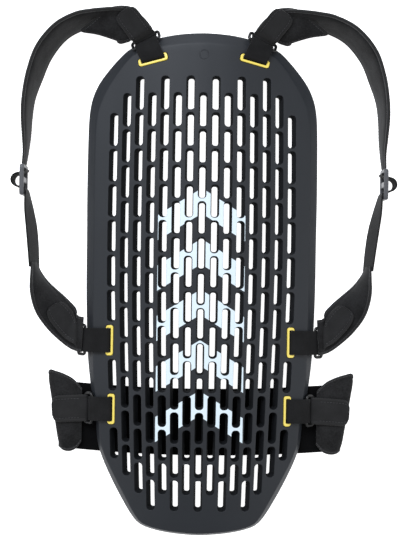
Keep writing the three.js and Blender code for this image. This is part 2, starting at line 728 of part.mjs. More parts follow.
function buildWing(side) {
  const reach = wingRows.map((row, i) => ({ ...row, place: i }));
  const steps = 10;
  const at = (place, column) => valueAt(reach, "place", place, column);
  const places = Array.from({ length: steps + 1 }, (_, i) => {
    const place = ((wingRows.length - 1) * i) / steps;
    const turn = THREE.MathUtils.degToRad(at(place, "turn"));
    return {
      point: new THREE.Vector3(at(place, "x"), at(place, "y"), at(place, "z")),
      across: new THREE.Vector3(Math.sin(turn), Math.cos(turn), 0),
      width: at(place, "width"),
      thick: at(place, "thick"),
    };
  });
  const stations = stripStations(places, wingWidth, wingThickness);
  stations.forEach((station, i) => {
    station.width = places[i].width;
    station.thick = places[i].thick;
    station.through.negate();
  });
  addSweep(`belt_wing_${sideName(side)}`, stations, padSection, materials.pad, side);
  buildTab("belt_tab", beltTabLength, anchors.low, stations, side);
}

// The belt lies flat and bows a little towards the lower end
function buildBelt() {
  const steps = 10;
  const stations = Array.from({ length: steps + 1 }, (_, i) => {
    const share = (2 * i) / steps - 1;
    const y = beltMiddle - beltBow * (1 - share ** 2);
    return {
      centre: new THREE.Vector3(share * beltEnd, y, beltThickness / 2),
      across: new THREE.Vector3(0, 1, 0),
      through: up,
      width: beltWidth,
      thick: beltThickness,
    };
  });
  addSweep("waist_belt", stations, webSection, materials.belt, 1);
}

// The ladder slider, standing on its edge: three bars across two windows
const strapEnd = shoulderRows.at(-1);
const sliderMiddle = strapEnd.x;
const sliderTop = strapEnd.y - 2 * fit;
const sliderBar = 4;
const sliderMiddleBar = 6;
const sliderSide = 2;

// Laid out as a grid of cells: the cells of the windows are left out
function buildSlider(side) {
  const low = sliderTop - sliderLength;
  const middleLow = (low + sliderTop - sliderMiddleBar) / 2;
  const middleHigh = middleLow + sliderMiddleBar;
  const acrossBars = [low, low + sliderBar, middleLow, middleHigh, sliderTop - sliderBar, sliderTop];
  const levels = [0, sliderSide, sliderHeight - sliderSide, sliderHeight];
  const rows = levels.length;
  const layer = acrossBars.length * rows;
  const points = [];
  for (const face of [-0.5, 0.5]) {
    for (const y of acrossBars) {
      points.push(...levels.map((z) => new THREE.Vector3(sliderMiddle + face * sliderThickness, y, z)));
    }
  }
  const isInside = (i, j) => i >= 0 && j >= 0 && i < acrossBars.length - 1 && j < rows - 1;
  const isSolid = (i, j) => isInside(i, j) && !(j === 1 && i % 2 === 1);
  const triangles = [];
  const quad = (a, b, c, d) => triangles.push([a, b, c], [a, c, d]);
  for (let i = 0; i < acrossBars.length - 1; i += 1) {
    for (let j = 0; j < rows - 1; j += 1) {
      if (!isSolid(i, j)) continue;
      const [a, b, c, d] = [i * rows + j, (i + 1) * rows + j, (i + 1) * rows + j + 1, i * rows + j + 1];
      quad(a, d, c, b);
      quad(layer + a, layer + b, layer + c, layer + d);
      if (!isSolid(i, j - 1)) quad(a, b, layer + b, layer + a);
      if (!isSolid(i + 1, j)) quad(b, c, layer + c, layer + b);
      if (!isSolid(i, j + 1)) quad(c, d, layer + d, layer + c);
      if (!isSolid(i - 1, j)) quad(d, a, layer + a, layer + d);
    }
  }
  addSolid(`slider_${sideName(side)}`, points, triangles, materials.slider, side);
}

// Adjuster webbing on its edge: round the slider's middle bar, given from the strap's end, and then
// down to the lower pad, with its bow from the straight line between them
const sliderRun = [
  { x: -3.7, y: -5.2 },
  { x: -2.6, y: -7 },
  { x: 2.8, y: -9.3 },
  { x: 7, y: -10.4 },
  { x: 10, y: -12.8 },
  { x: 11.2, y: -16.6 },
  { x: 10, y: -20.4 },
  { x: 7, y: -22.8 },
  { x: 2.8, y: -23.9 },
  { x: -2.6, y: -26.2 },
  { x: -3.8, y: -28.4 },
];
const freeRun = [
  { share: 0.074, bow: 0 },
  { share: 0.24, bow: -0.34 },
  { share: 0.47, bow: -1.1 },
  { share: 0.73, bow: -0.9 },
  { share: 1, bow: 0 },
];

function buildAdjuster(side) {
  const line = sliderRun.map(({ x, y }) => new THREE.Vector2(strapEnd.x + x, strapEnd.y + y));
  const leave = line.at(-1);
  const padEnd = lowerPadRows.at(-1);
  const arrive = new THREE.Vector2(padEnd.x, padEnd.y + 2 * fit);
  for (const { share, bow } of freeRun) {
    line.push(leave.clone().lerp(arrive, share).add(new THREE.Vector2(bow, 0)));
  }
  const places = line.map((p) => ({
    point: new THREE.Vector3(p.x, p.y, webWidth / 2 + sliderSide + fit),
    across: up,
  }));
  const stations = stripStations(places, webWidth, webThickness);
  addSweep(`adjuster_webbing_${sideName(side)}`, stations, webSection, materials.webbing, side);
}

buildPanel();
buildBelt();
for (const side of [1, -1]) {
  for (const anchor of Object.values(anchors)) {
    buildEyelet(anchor, side);
    buildAnchorWebbing(anchor, side);
    buildLoop(anchor, side);
  }
  buildShoulder(side);
  buildSlider(side);
  buildAdjuster(side);
  buildLowerPad(side);
  buildWing(side);
}

// The origin is under the middle of the whole piece
const box = new THREE.Box3().setFromObject(protector);
protector.position.set(0, -(box.min.y + box.max.y) / 2, 0);
protector.updateMatrixWorld(true);

export default protector;
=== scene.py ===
"""Looks of a back protector that lies on a flat surface with its outer side up.

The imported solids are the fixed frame. Every piece is modelled again here from the same named sizes,
finer than its solid: the moulded foam panel with rounded slot edges, the eyelets, the webbing, the wire
loops, the padded straps with bound edges and stitching, the ladder sliders and the elastic waist belt.
The solids are mirrored. The cloth here fell unevenly, up to 4 mm to one side of its solid.
"""

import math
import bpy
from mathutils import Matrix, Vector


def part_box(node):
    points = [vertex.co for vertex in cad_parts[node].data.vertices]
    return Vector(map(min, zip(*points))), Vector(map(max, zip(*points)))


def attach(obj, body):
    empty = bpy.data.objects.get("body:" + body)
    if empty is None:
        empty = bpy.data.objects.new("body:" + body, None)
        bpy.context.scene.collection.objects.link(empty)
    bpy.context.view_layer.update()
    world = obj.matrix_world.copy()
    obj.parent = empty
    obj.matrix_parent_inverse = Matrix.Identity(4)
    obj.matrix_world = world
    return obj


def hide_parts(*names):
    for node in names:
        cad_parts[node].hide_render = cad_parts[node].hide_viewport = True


bl_info = {
    "name": "Back Protector",
    "version": (1, 0, 0),
    "blender": (4, 5, 0),
    "location": "View3D > Sidebar > Protector",
    "description": "Models a ventilated back protector with its straps, buckles and belt",
    "category": "Object",
}

import bpy
import numpy as np
from mathutils import Matrix, Vector, geometry

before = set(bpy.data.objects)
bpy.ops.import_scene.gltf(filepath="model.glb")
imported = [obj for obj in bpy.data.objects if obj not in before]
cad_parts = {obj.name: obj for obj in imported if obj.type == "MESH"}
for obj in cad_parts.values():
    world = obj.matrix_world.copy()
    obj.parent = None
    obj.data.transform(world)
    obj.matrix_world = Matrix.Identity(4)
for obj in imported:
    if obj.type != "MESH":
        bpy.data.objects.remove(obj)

MM = 0.001

# Panel, in millimetres. Its edge bulges a little past the solid's at each side
PANEL_LENGTH = 520.0
PANEL_WIDTH = 239.0
SIDE_BULGE = 1.5
NECK_END = 245.0
LOWER_END = NECK_END - PANEL_LENGTH
HALF_PANEL = PANEL_WIDTH / 2 + SIDE_BULGE
CROWN_HEIGHT = 33.0
SIDE_DROP = 22.0
MIDDLE_THICKNESS = 13.0
SIDE_THICKNESS = 10.0
BEVEL_WIDTH = 9.0
BEVEL_DROP = 5.5

# Slots. Each opens a little above and closes below, more so towards the lower end
COLUMNS_ACROSS = 17.84
ROWS_ALONG = 13.9
COLUMN_PITCH = PANEL_WIDTH / COLUMNS_ACROSS
ROW_PITCH = PANEL_LENGTH / ROWS_ALONG
ROW_CLOSING = ROW_PITCH * 0.0032
FIRST_SLOT_INSET = ROW_PITCH * 1.674
EVEN_COLUMN_SHIFT = ROW_PITCH * 0.46
SLOT_ROWS = 12
SLOT_RIB = 5.8
SLOT_WIDTH = COLUMN_PITCH - SLOT_RIB
SLOT_BRIDGE = 3.9
SLOT_CORNER = 2.6
SLOT_LAND = 1.8
SLOT_OPEN = 0.5
SLOT_CLOSE = 0.7
SLOT_CLOSE_MORE = 0.5
OUTER_COLUMN = 7
MID_ROW = 7
LOW_ROW = 9
UNDERSIDE_ROUNDING = 0.7

# The panel's mesh: points round its edge, and a grid that carries the arch between the slots
EDGE_POINTS = 240
GRID_PITCH = 6.5
GRID_START = (0.37, 0.21)
GRID_EDGE_LAND = 2.5
GRID_SLOT_LAND = 1.4

# The print's stacked chevrons, and the moulded ring near the neck end
CHEVRON = {"half": 45.0, "low": -150.0, "high": 108.0, "pitch": 52.0, "bar": 26.0, "slope": 0.62}
PRINT_FACES_UP = 0.72
RING = {"y": 221.8, "radius": 4.6, "crest": 0.2, "foot": 0.7}

# Eyelets, webbing and wire loops
FIT = 0.3
WEB_WIDTH = 25.0
WEB_THICKNESS = 1.6
EYELET_LENGTH = 31.5
EYELET_WIDTH = 7.8
EYELET_BAR = 2.4
EYELET_OUTER_WALL = 1.2
EYELET_LIP = 1.0
WINDOW_CORNER = 0.9
WINDOW_SHIFT = (EYELET_BAR - EYELET_OUTER_WALL) / 2
TAIL_LENGTH = 12.0
SIDE_TAIL = {"clear": 0.5, "droop": 1.4}
TOP_TAIL = {"clear": 0.9, "droop": 1.8}
CREST_BULGE = 1.5
WEB_BEND = 1.2
WEB_EDGE_RADIUS = 0.55
SLING_WRAP = (76, -80)
TAB_WRAP = (285, 90)
STRIP_STEP = 0.8
ADJUSTER_STEP = 1.0
WIRE_DIAMETER = 3.2
WIRE_SPACING = 8.5
LOOP_CORNER = 2.4
LOOP_FALL = math.radians(33)
SIDE_LOOP_OUT = 3.4 - SIDE_BULGE
SIDE_LOOP_HIGH = 4.6
TOP_EYELET = {"half_share": 0.435, "inset": 26.0}
TOP_TURN = math.radians(76.6)
TOP_LOOP_TURN = math.radians(65)
TOP_LOOP_LEAN = math.radians(12)
TOP_LOOP_REACH = 16.0
TOP_LOOP_HIGH = 24.5
SHOULDER_TAB_LENGTH = 37.0
SHOULDER_TAB_TURN = math.radians(50)
LOWER_TAB_LENGTH = 48.0
BELT_TAB_LENGTH = 31.0
BELT_TAB_WIDTH = 28.0
TAB_THICKNESS = 2.4

# How far the side eyelets really sit out from their solids, and the top ones lower
SIDE_EYELET_OUT = 1.9
TOP_EYELET_LOWER = 2.4

# Straps, sliders and belt
STRAP_THICKNESS = 6.0
PAD_WIDTH = 47.0
LOWER_PAD_WIDTH = 38.0
SLIDER_THICKNESS = 4.5
SLIDER_LENGTH = 32.0
SLIDER_HEIGHT = 30.0
SLIDER_BAR = 4.0
SLIDER_MIDDLE_BAR = 6.0
SLIDER_SIDE = 2.0
SLIDER_CORNERS = {"frame": 2.0, "section": 1.3, "middle_bar": 1.6}
WEB_TUCK = 5.0
BELT_WIDTH = 70.0
BELT_THICKNESS = 3.0
BELT_BOW = 7.0
BELT_STATIONS = 80
BELT_LOWER = 7.5
BELT_PAST_LOOPS = 35.4
WING_THICKNESS = 4.0
WING_WIDTH = 88.0
BELT_TAB_FALL = 0.06

UP = np.array([0.0, 0.0, 1.0])


def table(names, *rows):
    """Rows of numbers under named columns."""
    keys = names.split()
    return [dict(zip(keys, row)) for row in rows]


# The panel's outline from the neck end down: share of the length, of half the width, of the bevel
OUTLINE = table(
    "along half bevel",
    (1.0, 0.0, 1.45),
    (0.9975, 0.2, 1.42),
    (0.991, 0.377, 1.3),
    (0.981, 0.53, 1.12),
    (0.968, 0.65, 1.05),
    (0.954, 0.72, 1.1),
    (0.937, 0.79, 1.2),
    (0.905, 0.897, 1.4),
    (0.877, 0.955, 1.36),
    (0.849, 0.983, 1.15),
    (0.814, 0.994, 1.02),
    (0.737, 0.999, 1.0),
    (0.669, 1.0, 1.0),
    (0.589, 0.997, 1.0),
    (0.496, 0.995, 0.97),
    (0.432, 0.988, 0.9),
    (0.354, 0.972, 0.75),
    (0.304, 0.949, 0.58),
    (0.224, 0.895, 0.45),
    (0.178, 0.874, 0.45),
    (0.146, 0.829, 0.5),
    (0.108, 0.753, 0.6),
    (0.07, 0.664, 0.6),
    (0.034, 0.567, 0.5),
    (0.018, 0.496, 0.4),
    (0.0085, 0.37, 0.36),
    (0.0025, 0.192, 0.36),
    (0.0, 0.0, 0.36),
)

# The arch: how far the face has fallen on its way out, then how high and how deep it is lengthwise
SAG = table(
    "out sag",
    (0, 0),
    (0.21, 0.06),
    (0.33, 0.155),
    (0.45, 0.29),
    (0.56, 0.435),
    (0.68, 0.62),
    (0.78, 0.77),
    (0.92, 0.93),
    (1, 1),
)
SPINE = table(
    "along crown drop",
    (0, 0.83, 1),
    (0.1, 0.95, 1),
    (0.2, 1.02, 1),
    (0.3, 1.04, 1),
    (0.45, 1.02, 1.06),
    (0.65, 1.02, 1.1),
    (0.85, 0.98, 1.02),
    (1, 0.94, 0.96),
)

# How far the slots' columns stand apart, lengthwise
SPREAD = table("along spread", (0, 0.9), (0.2, 0.945), (0.45, 0.995), (0.65, 1), (1, 0.975))

# The panel's edge from the bevel's inner line (out 0) to the outline (out 1) and back underneath
EDGE_PROFILE = table(
    "out drop",
    (0.1, 0.25),
    (0.22, 0.9),
    (0.5, 2.6),
    (0.86, 4.75),
    (0.95, 5.45),
    (0.99, 6.2),
    (1.0, 7.2),
    (0.99, 8.2),
    (0.94, 8.8),
    (0.85, 9.05),
    (0.4, 10.2),
)

# Rows of the pads from their loops' inner bars: places and lifts in millimetres, skew, tilt and turn
# in degrees, width and thickness as shares
SHOULDER_ROWS = table(
    "x y lift skew tilt width thick",
    (7.3, 9.5, 12, 36, 12, 0.64, 0.8),
    (16.3, 14, 10, 16, 22, 0.82, 1),
    (27, 20, 4, 0, 52, 0.94, 1),
    (41.3, 23.5, 1, 0, 70, 1, 1),
    (56, 24.5, 0, 0, 78, 1, 1),
    (71.3, 21.5, 0, 0, 79, 1, 1),
    (90.5, 10.5, 0, 0, 78, 1, 1),
    (107, -10, 0, 0, 77, 1, 1),
    (116.3, -33.5, 0, 0, 79, 1, 1),
    (122.3, -55.5, 0, 0, 84, 1, 1),
    (124.8, -75.5, 0, 0, 86, 0.97, 1),
    (125.6, -95.5, 0, 0, 88, 0.88, 0.9),
    (127.1, -112.5, 0, 0, 90, 0.68, 0.7),
    (129.3, -125.9, 0, 0, 90, 0.54, 0.5),
)
LOWER_PAD_ROWS = table(
    "x y lift skew tilt width thick",
    (2.2, 5.2, 11.5, -8, 0, 0.98, 0.75),
    (7, 6.2, 9.5, -18, 0, 1, 0.8),
    (12, 8.6, 3.5, -26, 4, 1, 0.9),
    (17.5, 13.5, 0, -20, 10, 0.96, 1),
    (27, 24.5, 0, 0, 20, 1, 1),
    (37.5, 38, 0, 0, 36, 1, 1),
    (46.5, 54, 0, 0, 58, 0.9, 1),
    (52, 70.5, 0, 0, 78, 0.74, 0.8),
    (53.5, 80.5, 0, 0, 86, 0.68, 0.55),
)
WING_ROWS = table(
    "x y z turn width thick",
    (10.9, -8, 7.2, 0, 0.64, 0.8),
    (17.7, -6.5, 7.6, 3, 0.82, 1),
    (25, -5, 8, 7, 0.92, 1),
    (31.5, -4, 8, 9.5, 0.97, 1),
    (36.5, -2.9, 7.6, 10, 0.98, 1),
    (39.3, -2.9, 5.2, 9.5, 0.93, 0.9),
    (37.6, -3.9, 2.4, 8, 0.87, 0.85),
    (32.7, -5.9, 1.9, 4, 0.84, 0.85),
)

# The webbing through a slider, from the strap's end, and then freely down to the lower pad
SLIDER_RUN = table(
    "x y",
    (-3.7, -5.2),
    (-2.6, -7),
    (2.8, -9.3),
    (7, -10.4),
    (10, -12.8),
    (11.2, -16.6),
    (10, -20.4),
    (7, -22.8),
    (2.8, -23.9),
    (-2.6, -26.2),
    (-3.8, -28.4),
)
FREE_RUN = table(
    "share bow lean",
    (0.074, 0, 5),
    (0.24, -0.34, 13),
    (0.47, -1.1, 18),
    (0.73, -0.9, 18),
    (1, 0, 15),
)

# A tab's rounded end: how narrow it is along its length
TAB_END = table(
    "share narrow",
    (0.2, 1),
    (0.38, 1),
    (0.56, 1),
    (0.72, 1),
    (0.86, 0.94),
    (0.95, 0.76),
    (1, 0.42),
)

# A bound pad's half section: inset from its edge in millimetres, height as a share of the thickness.
# Its binding reaches in as far as the groove at BINDING_INSET
BINDING_INSET = 3.4
PAD_PROFILE = table(
    "inset high",
    (0.0, 0.0),
    (0.15, 0.12),
    (0.6, 0.23),
    (1.6, 0.28),
    (2.9, 0.285),
    (3.4, 0.22),
    (4.2, 0.24),
    (5.0, 0.31),
    (7.0, 0.4),
    (10.0, 0.47),
    (14.0, 0.5),
)

# How far to the outside each row of a shoulder strap fell, and how much wider a wing spread over
# a stretch of its length
DRAPE = {
    "right": (0, 0, 0, 0.3, 0.8, 1.8, 3.2, 4, 4, 3.6, 3, 2.2, 1.4, 0.8),
    "left": (0, 0, 0, 0, 0, 0, -0.4, -0.8, -1, -1.2, -1.6, -2, -2.3, -2.5),
}
WING_WIDER = {"right": 3.0, "left": 0.0}
WING_WIDER_OVER = 31.5

# The wide three-cornered end of a shoulder pad, seen from above, and its section from its edge in
FLAP = table(
    "x y",
    (131, 244.5),
    (117, 254),
    (105.5, 263),
    (96, 267.5),
    (86, 269),
    (73.5, 268),
    (65, 257.5),
    (59, 248),
    (68.5, 242),
    (79, 235.6),
    (86, 235),
    (98.8, 239),
    (112, 242.5),
)
FLAP_PROFILE = table(
    "share high",
    (1.0, 0.0),
    (0.996, 0.12),
    (0.985, 0.22),
    (0.955, 0.28),
    (0.925, 0.285),
    (0.91, 0.22),
    (0.89, 0.26),
    (0.84, 0.36),
    (0.7, 0.46),
    (0.4, 0.5),
)
FLAP_THICKNESS = 6.0
FLAP_LEVEL = 22.0
FLAP_FOOT = 240.0
FLAP_SLOPE = 0.62
# Its seam and its binding's inner edge, as shares of the way out from its middle
FLAP_SEAM = {"share": 0.87, "high": 0.31}
FLAP_BINDING = 0.9

# Stitches: from the edge, as a share of the thickness above the middle, and their own shape
STITCH_INSET = 2.3
STITCH_LEVEL = 0.29
TAB_STITCH_INSET = 4.37
TAB_STITCH_LEVEL = 0.42
STITCH_HALF_SHARE = 0.36
STITCH_SINK = 0.25
STITCH_SIDES = 6
STITCH_SHAPE = table("along wide", (-1.0, 0.35), (-0.8, 0.9), (0.0, 1.0), (0.8, 0.9), (1.0, 0.35))

# Eyelet lip: inset from its wall in millimetres, height as a share of the lip
LIP_PROFILE = table("inset high", (0.0, 0.45), (0.15, 0.8), (0.5, 1.0))

# Stage, in metres and watts
LIGHTS = table(
    "name place target size power colour",
    ("softbox over the neck end", (-0.5, 1.1, 1.5), (0, 0.05, 0), (1.3, 0.9), 27, "f0f6ff"),
    ("softbox at the right", (1.5, -0.2, 1.3), (0, 0, 0), (0.8, 1.4), 8, "ffffff"),
    ("low fill at the left", (-1.6, -0.5, 0.9), (0, 0, 0), (0.8, 1.2), 5, "ffffff"),
)
# The room's light, the floor's own glow, and what the camera looks down on: how far right of the
# middle, and how high above the surface
ROOM_STRENGTH = 0.5
FLOOR_REACH = 4.0
FLOOR_GLOW = 0.95
VIEW_RIGHT = 0.0015
VIEW_PLANE = 0.025

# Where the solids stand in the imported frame
SHIFT = np.array([0.0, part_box("foam_panel")[1].y / MM - NECK_END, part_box("waist_belt")[0].z / MM])


def length_setting(name, description, default):
    """A length that a user can change, in metres."""
    return bpy.props.FloatProperty(
        name=name, description=description, default=default, min=0.0, unit="LENGTH"
    )


def colour_setting(name, description, default):
    """A colour that a user can change, as an sRGB hex value."""
    return bpy.props.StringProperty(name=name, description=description, default=default)


class ProtectorSizes(bpy.types.PropertyGroup):
    """Sizes that can be changed without new solids"""

    slot_rounding: length_setting("Slot rounding", "Radius of the slots' upper edges", 0.5 * MM)
    slot_corner: length_setting("Slot corner", "Corner radius of a slot, seen from above", 3.2 * MM)
    stitch_pitch: length_setting("Stitch pitch", "From one stitch to the next", 3.2 * MM)
    thread: length_setting("Thread", "Thickness of the sewing thread", 0.5 * MM)
    camera_distance: length_setting("Camera distance", "From the camera to the panel's level", 1.2)
    view_height: length_setting("View height", "What the image spans at the panel's level", 0.558)
    view_roll: bpy.props.FloatProperty(
        name="View roll",
        description="Turn of the view about its middle",
        default=math.radians(0.8),
        subtype="ANGLE",
        unit="ROTATION",
    )


class ProtectorColours(bpy.types.PropertyGroup):
    """Colours of the finishes, as sRGB hex values"""

    foam: colour_setting("Foam", "The panel's skin", "1b1f25")
    # Darker than the face's foam: painted shade in the slots
    wall: colour_setting("Slot walls", "Foam in the slots", "1a1c1f")
    print: colour_setting("Print", "The chevrons' ink", "dcebf4")
    rim: colour_setting("Eyelets", "Eyelet plastic", "f3dc66")
    webbing: colour_setting("Webbing", "Webbing yarn", "1a1a1b")
    cover: colour_setting("Covers", "Pad covers", "1d1d1e")
    binding: colour_setting("Binding", "Edge tape", "151516")
    thread: colour_setting("Thread", "Sewing thread", "38383b")
    wire: colour_setting("Loops", "Loop plastic", "0e0e10")
    slider: colour_setting("Sliders", "Slider plastic", "4c4d51")
    belt: colour_setting("Belt", "Belt elastic", "060607")
    floor: colour_setting("Floor", "Studio floor", "fafafa")


def sizes():
    """The sizes as they are set now."""
    return bpy.context.scene.protector_sizes


def colours():
    """The colours as they are set now."""
    return bpy.context.scene.protector_colours


# Curves and frames
def unit(v):
    """Vectors of length one."""
    return v / np.linalg.norm(v, axis=-1, keepdims=True)


def hermite(keys, values, place):
    """Smooth values at places along unevenly spaced keys."""
    x = np.asarray(keys, float)
    y = np.asarray(values, float)
    if x[0] > x[-1]:
        x, y = x[::-1], y[::-1]
    flat = y.reshape(len(x), -1)
    slope = np.empty_like(flat)
    slope[1:-1] = (flat[2:] - flat[:-2]) / (x[2:] - x[:-2])[:, None]
    slope[0] = (flat[1] - flat[0]) / (x[1] - x[0])
    slope[-1] = (flat[-1] - flat[-2]) / (x[-1] - x[-2])
    at = np.clip(np.asarray(place, float), x[0], x[-1])
    i = np.clip(np.searchsorted(x, at, side="right") - 1, 0, len(x) - 2)
    span = x[i + 1] - x[i]
    t = ((at - x[i]) / span)[..., None]
    span = span[..., None]
    found = (
        (2 * t**3 - 3 * t**2 + 1) * flat[i]
        + (t**3 - 2 * t**2 + t) * slope[i] * span
        + (3 * t**2 - 2 * t**3) * flat[i + 1]
        + (t**3 - t**2) * slope[i + 1] * span
    )
    return found.reshape(at.shape + y.shape[1:])


def value_at(rows, key, place, column):
    """A column of a table, smooth between its rows, at places of its key column."""
    return hermite([row[key] for row in rows], [row[column] for row in rows], place)


def chord(points):
    """Distance gone along a line of points."""
    return np.concatenate([[0.0], np.cumsum(np.linalg.norm(np.diff(points, axis=0), axis=1))])


def outward_from(ring):
    """Directions that point out of a closed counterclockwise ring, at each of its points."""
    run = np.roll(ring, -1, axis=0) - np.roll(ring, 1, axis=0)
    return unit(np.stack([run[:, 1], -run[:, 0]], axis=-1))


def heading_vector(turn):
    """The level direction that is turned from +X."""
    return np.array([math.cos(turn), math.sin(turn), 0.0])


def loop_frame(turn, lean):
    """A wire loop's directions: away from the panel, along its bars, up, and down its own slope."""
    heading = heading_vector(turn)
    across = heading_vector(turn + math.pi / 2) * math.cos(lean) + UP * math.sin(lean)
    rise = np.cross(heading, across)
    run = heading * math.cos(LOOP_FALL) - rise * math.sin(LOOP_FALL)
    return {"heading": heading, "across": across, "rise": rise, "run": run}


# Panel surface
def along_at(y):
    """The share of the panel's length at y, from the lower end."""
    return (np.asarray(y, float) - LOWER_END) / PANEL_LENGTH


def base_height(x, y):
    """Height of the panel's outer face, before its bevel."""
    along = along_at(y)
    sag = value_at(SAG, "out", np.abs(x) / HALF_PANEL, "sag")
    crown = CROWN_HEIGHT * value_at(SPINE, "along", along, "crown")
    return crown - SIDE_DROP * value_at(SPINE, "along", along, "drop") * sag


def panel_normal(x, y):
    """The direction that stands square on the panel's outer face."""
    step = 0.5
    dx = (base_height(x + step, y) - base_height(x - step, y)) / (2 * step)
    dy = (base_height(x, y + step) - base_height(x, y - step)) / (2 * step)
    return unit(np.stack([-dx, -dy, np.ones_like(dx)], axis=-1))


def thickness_at(x):
    """The foam's thickness, which falls from the middle to the sides."""
    return MIDDLE_THICKNESS - (MIDDLE_THICKNESS - SIDE_THICKNESS) * (x / HALF_PANEL) ** 2


def on_panel(x, y, height):
    """Points at a height above the panel's outer face."""
    surface = np.stack([x, y, base_height(x, y)], axis=-1)
    return surface + panel_normal(x, y) * np.asarray(height)[..., None]


def slot_place(column, row):
    """The middle of a slot. The columns spread and the rows close a little towards the lower end."""
    shift = EVEN_COLUMN_SHIFT if column % 2 == 0 else 0.0
    y = NECK_END - FIRST_SLOT_INSET - shift - ROW_PITCH * row + ROW_CLOSING * row * (row - 1)
    return np.array([column * COLUMN_PITCH * value_at(SPREAD, "along", along_at(y), "spread"), y])


def panel_frame(x, y, turn):
    """A place on the outer face, with its directions along the turn, across it and up."""
    rise = panel_normal(x, y)
    heading = heading_vector(turn)
    heading = unit(heading - rise * heading.dot(rise))
    base = on_panel(x, y, 0.0)
    return {"base": base, "heading": heading, "across": np.cross(rise, heading), "rise": rise}


def rounded_outline(width, length, corner, grow=0.0, arc=5, straight=3):
    """A rounded rectangle, counterclockwise: u across it and v along it."""
    corner_at = [(1, -1, -90), (1, 1, 0), (-1, 1, 90), (-1, -1, 180)]
    points = []
    for k, (u, v, start) in enumerate(corner_at):
        middle = np.array([u * (width / 2 - corner), v * (length / 2 - corner)])
        for i in range(arc + 1):
            angle = math.radians(start + 90 * i / arc)
            points.append(middle + (corner + grow) * np.array([math.cos(angle), math.sin(angle)]))
        if k % 2 == 0:
            ahead = middle * np.array([1, -1]) + np.array([u * (corner + grow), 0])
            last = points[-1]
            points += [last + (ahead - last) * (i + 1) / (straight + 1) for i in range(straight)]
    return np.array(points)


def side_anchor(name, row):
    """A side eyelet's hole and where its loop's inner bar lies, past the panel's edge."""
    hole = slot_place(OUTER_COLUMN, row) + np.array([SIDE_EYELET_OUT, 0.0])
    edge = HALF_PANEL * float(value_at(OUTLINE, "along", along_at(hole[1]), "half"))
    edge_height = float(base_height(edge, hole[1])) - BEVEL_DROP
    bar = np.array([edge + SIDE_LOOP_OUT, hole[1], edge_height + SIDE_LOOP_HIGH])
    facing = loop_frame(0.0, 0.0)
    return {"name": name, "hole": hole, "turn": 0.0, "bar": bar, "tail": SIDE_TAIL, **facing}


def top_anchor():
    """A top eyelet's hole and where its loop's inner bar lies, above the panel's shoulder."""
    hole_y = NECK_END - TOP_EYELET["inset"] - TOP_EYELET_LOWER
    hole = np.array([HALF_PANEL * TOP_EYELET["half_share"], hole_y])
    reach = heading_vector(TOP_LOOP_TURN) * TOP_LOOP_REACH + np.array([0.0, TOP_EYELET_LOWER, 0.0])
    bar = np.array([hole[0] + reach[0], hole[1] + reach[1], TOP_LOOP_HIGH])
    facing = loop_frame(TOP_LOOP_TURN, TOP_LOOP_LEAN)
    return {"name": "top", "hole": hole, "turn": TOP_TURN, "bar": bar, "tail": TOP_TAIL, **facing}


ANCHORS = {
    "top": top_anchor(),
    "middle": side_anchor("middle", MID_ROW),
    "low": side_anchor("low", LOW_ROW),
}


def placed(rows, bar, width, thick):
    """A pad's rows, which start from its loop's inner bar and hold shares of its width and thickness."""
    return [
        {
            **row,
            "x": row["x"] + bar[0],
            "y": row["y"] + bar[1],
            "width": row["width"] * width,
            "thick": row["thick"] * thick,
        }
        for row in rows
    ]


SHOULDER = placed(SHOULDER_ROWS, ANCHORS["top"]["bar"], PAD_WIDTH, STRAP_THICKNESS)
LOWER_PAD = placed(LOWER_PAD_ROWS, ANCHORS["middle"]["bar"], LOWER_PAD_WIDTH, STRAP_THICKNESS)
WING = placed(WING_ROWS, ANCHORS["low"]["bar"], WING_WIDTH, WING_THICKNESS)
SLIDER_TOP = SHOULDER[-1]["y"] - 2 * FIT
BELT_MIDDLE = ANCHORS["low"]["bar"][1] - BELT_LOWER
BELT_END = ANCHORS["low"]["bar"][0] + BELT_PAST_LOOPS


# Meshes
def add_piece(
    name,
    points,
    faces,
    materials,
    indices=None,
    uvs=None,
    side=1,
    nodes=(),
    slot=None,
):
    """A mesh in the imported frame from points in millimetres, riding on the part's one body."""
    place = np.asarray(points, float) * np.array([side, 1, 1]) + SHIFT
    # Faces that look inwards, as a mirrored side's do, are turned round
    volume = 0.0
    for face in faces:
        a = place[face[0]]
        for i in range(1, len(face) - 1):
            volume += a.dot(np.cross(place[face[i]], place[face[i + 1]]))
    turned = volume < 0
    faces = [tuple(reversed(face)) if turned else tuple(face) for face in faces]
    mesh = bpy.data.meshes.new(name)
    mesh.from_pydata((place * MM).tolist(), [], faces)
    for material in materials:
        mesh.materials.append(material)
    if indices is not None:
        mesh.polygons.foreach_set("material_index", np.asarray(indices, np.int32))
    if uvs is not None:
        layer = mesh.uv_layers.new(name="UVMap")
        corners = [corner for face in uvs for corner in (reversed(face) if turned else face)]
        layer.data.foreach_set("uv", np.asarray(corners, np.float32).ravel() * MM)
    mesh.polygons.foreach_set("use_smooth", np.ones(len(mesh.polygons), bool))
    mesh.update()
    if mesh.validate():
        raise RuntimeError(f"{name} holds faces that Blender had to mend")
    piece = bpy.data.objects.new(name, mesh)
    bpy.context.scene.collection.objects.link(piece)
    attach(piece, "root")
    if nodes:
        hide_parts(*nodes)
    return piece


def weighted_normals(piece):
    """Keeps large flat faces even beside their rounded edges."""
    modifier = piece.modifiers.new("Even shading", "WEIGHTED_NORMAL")
    modifier.mode = "FACE_AREA"
    modifier.weight = 60


def band(first, second, count):
    """Quads between two closed rows of points that start at the given places."""
    return [
        (first + i, second + i, second + (i + 1) % count, first + (i + 1) % count)
        for i in range(count)
    ]


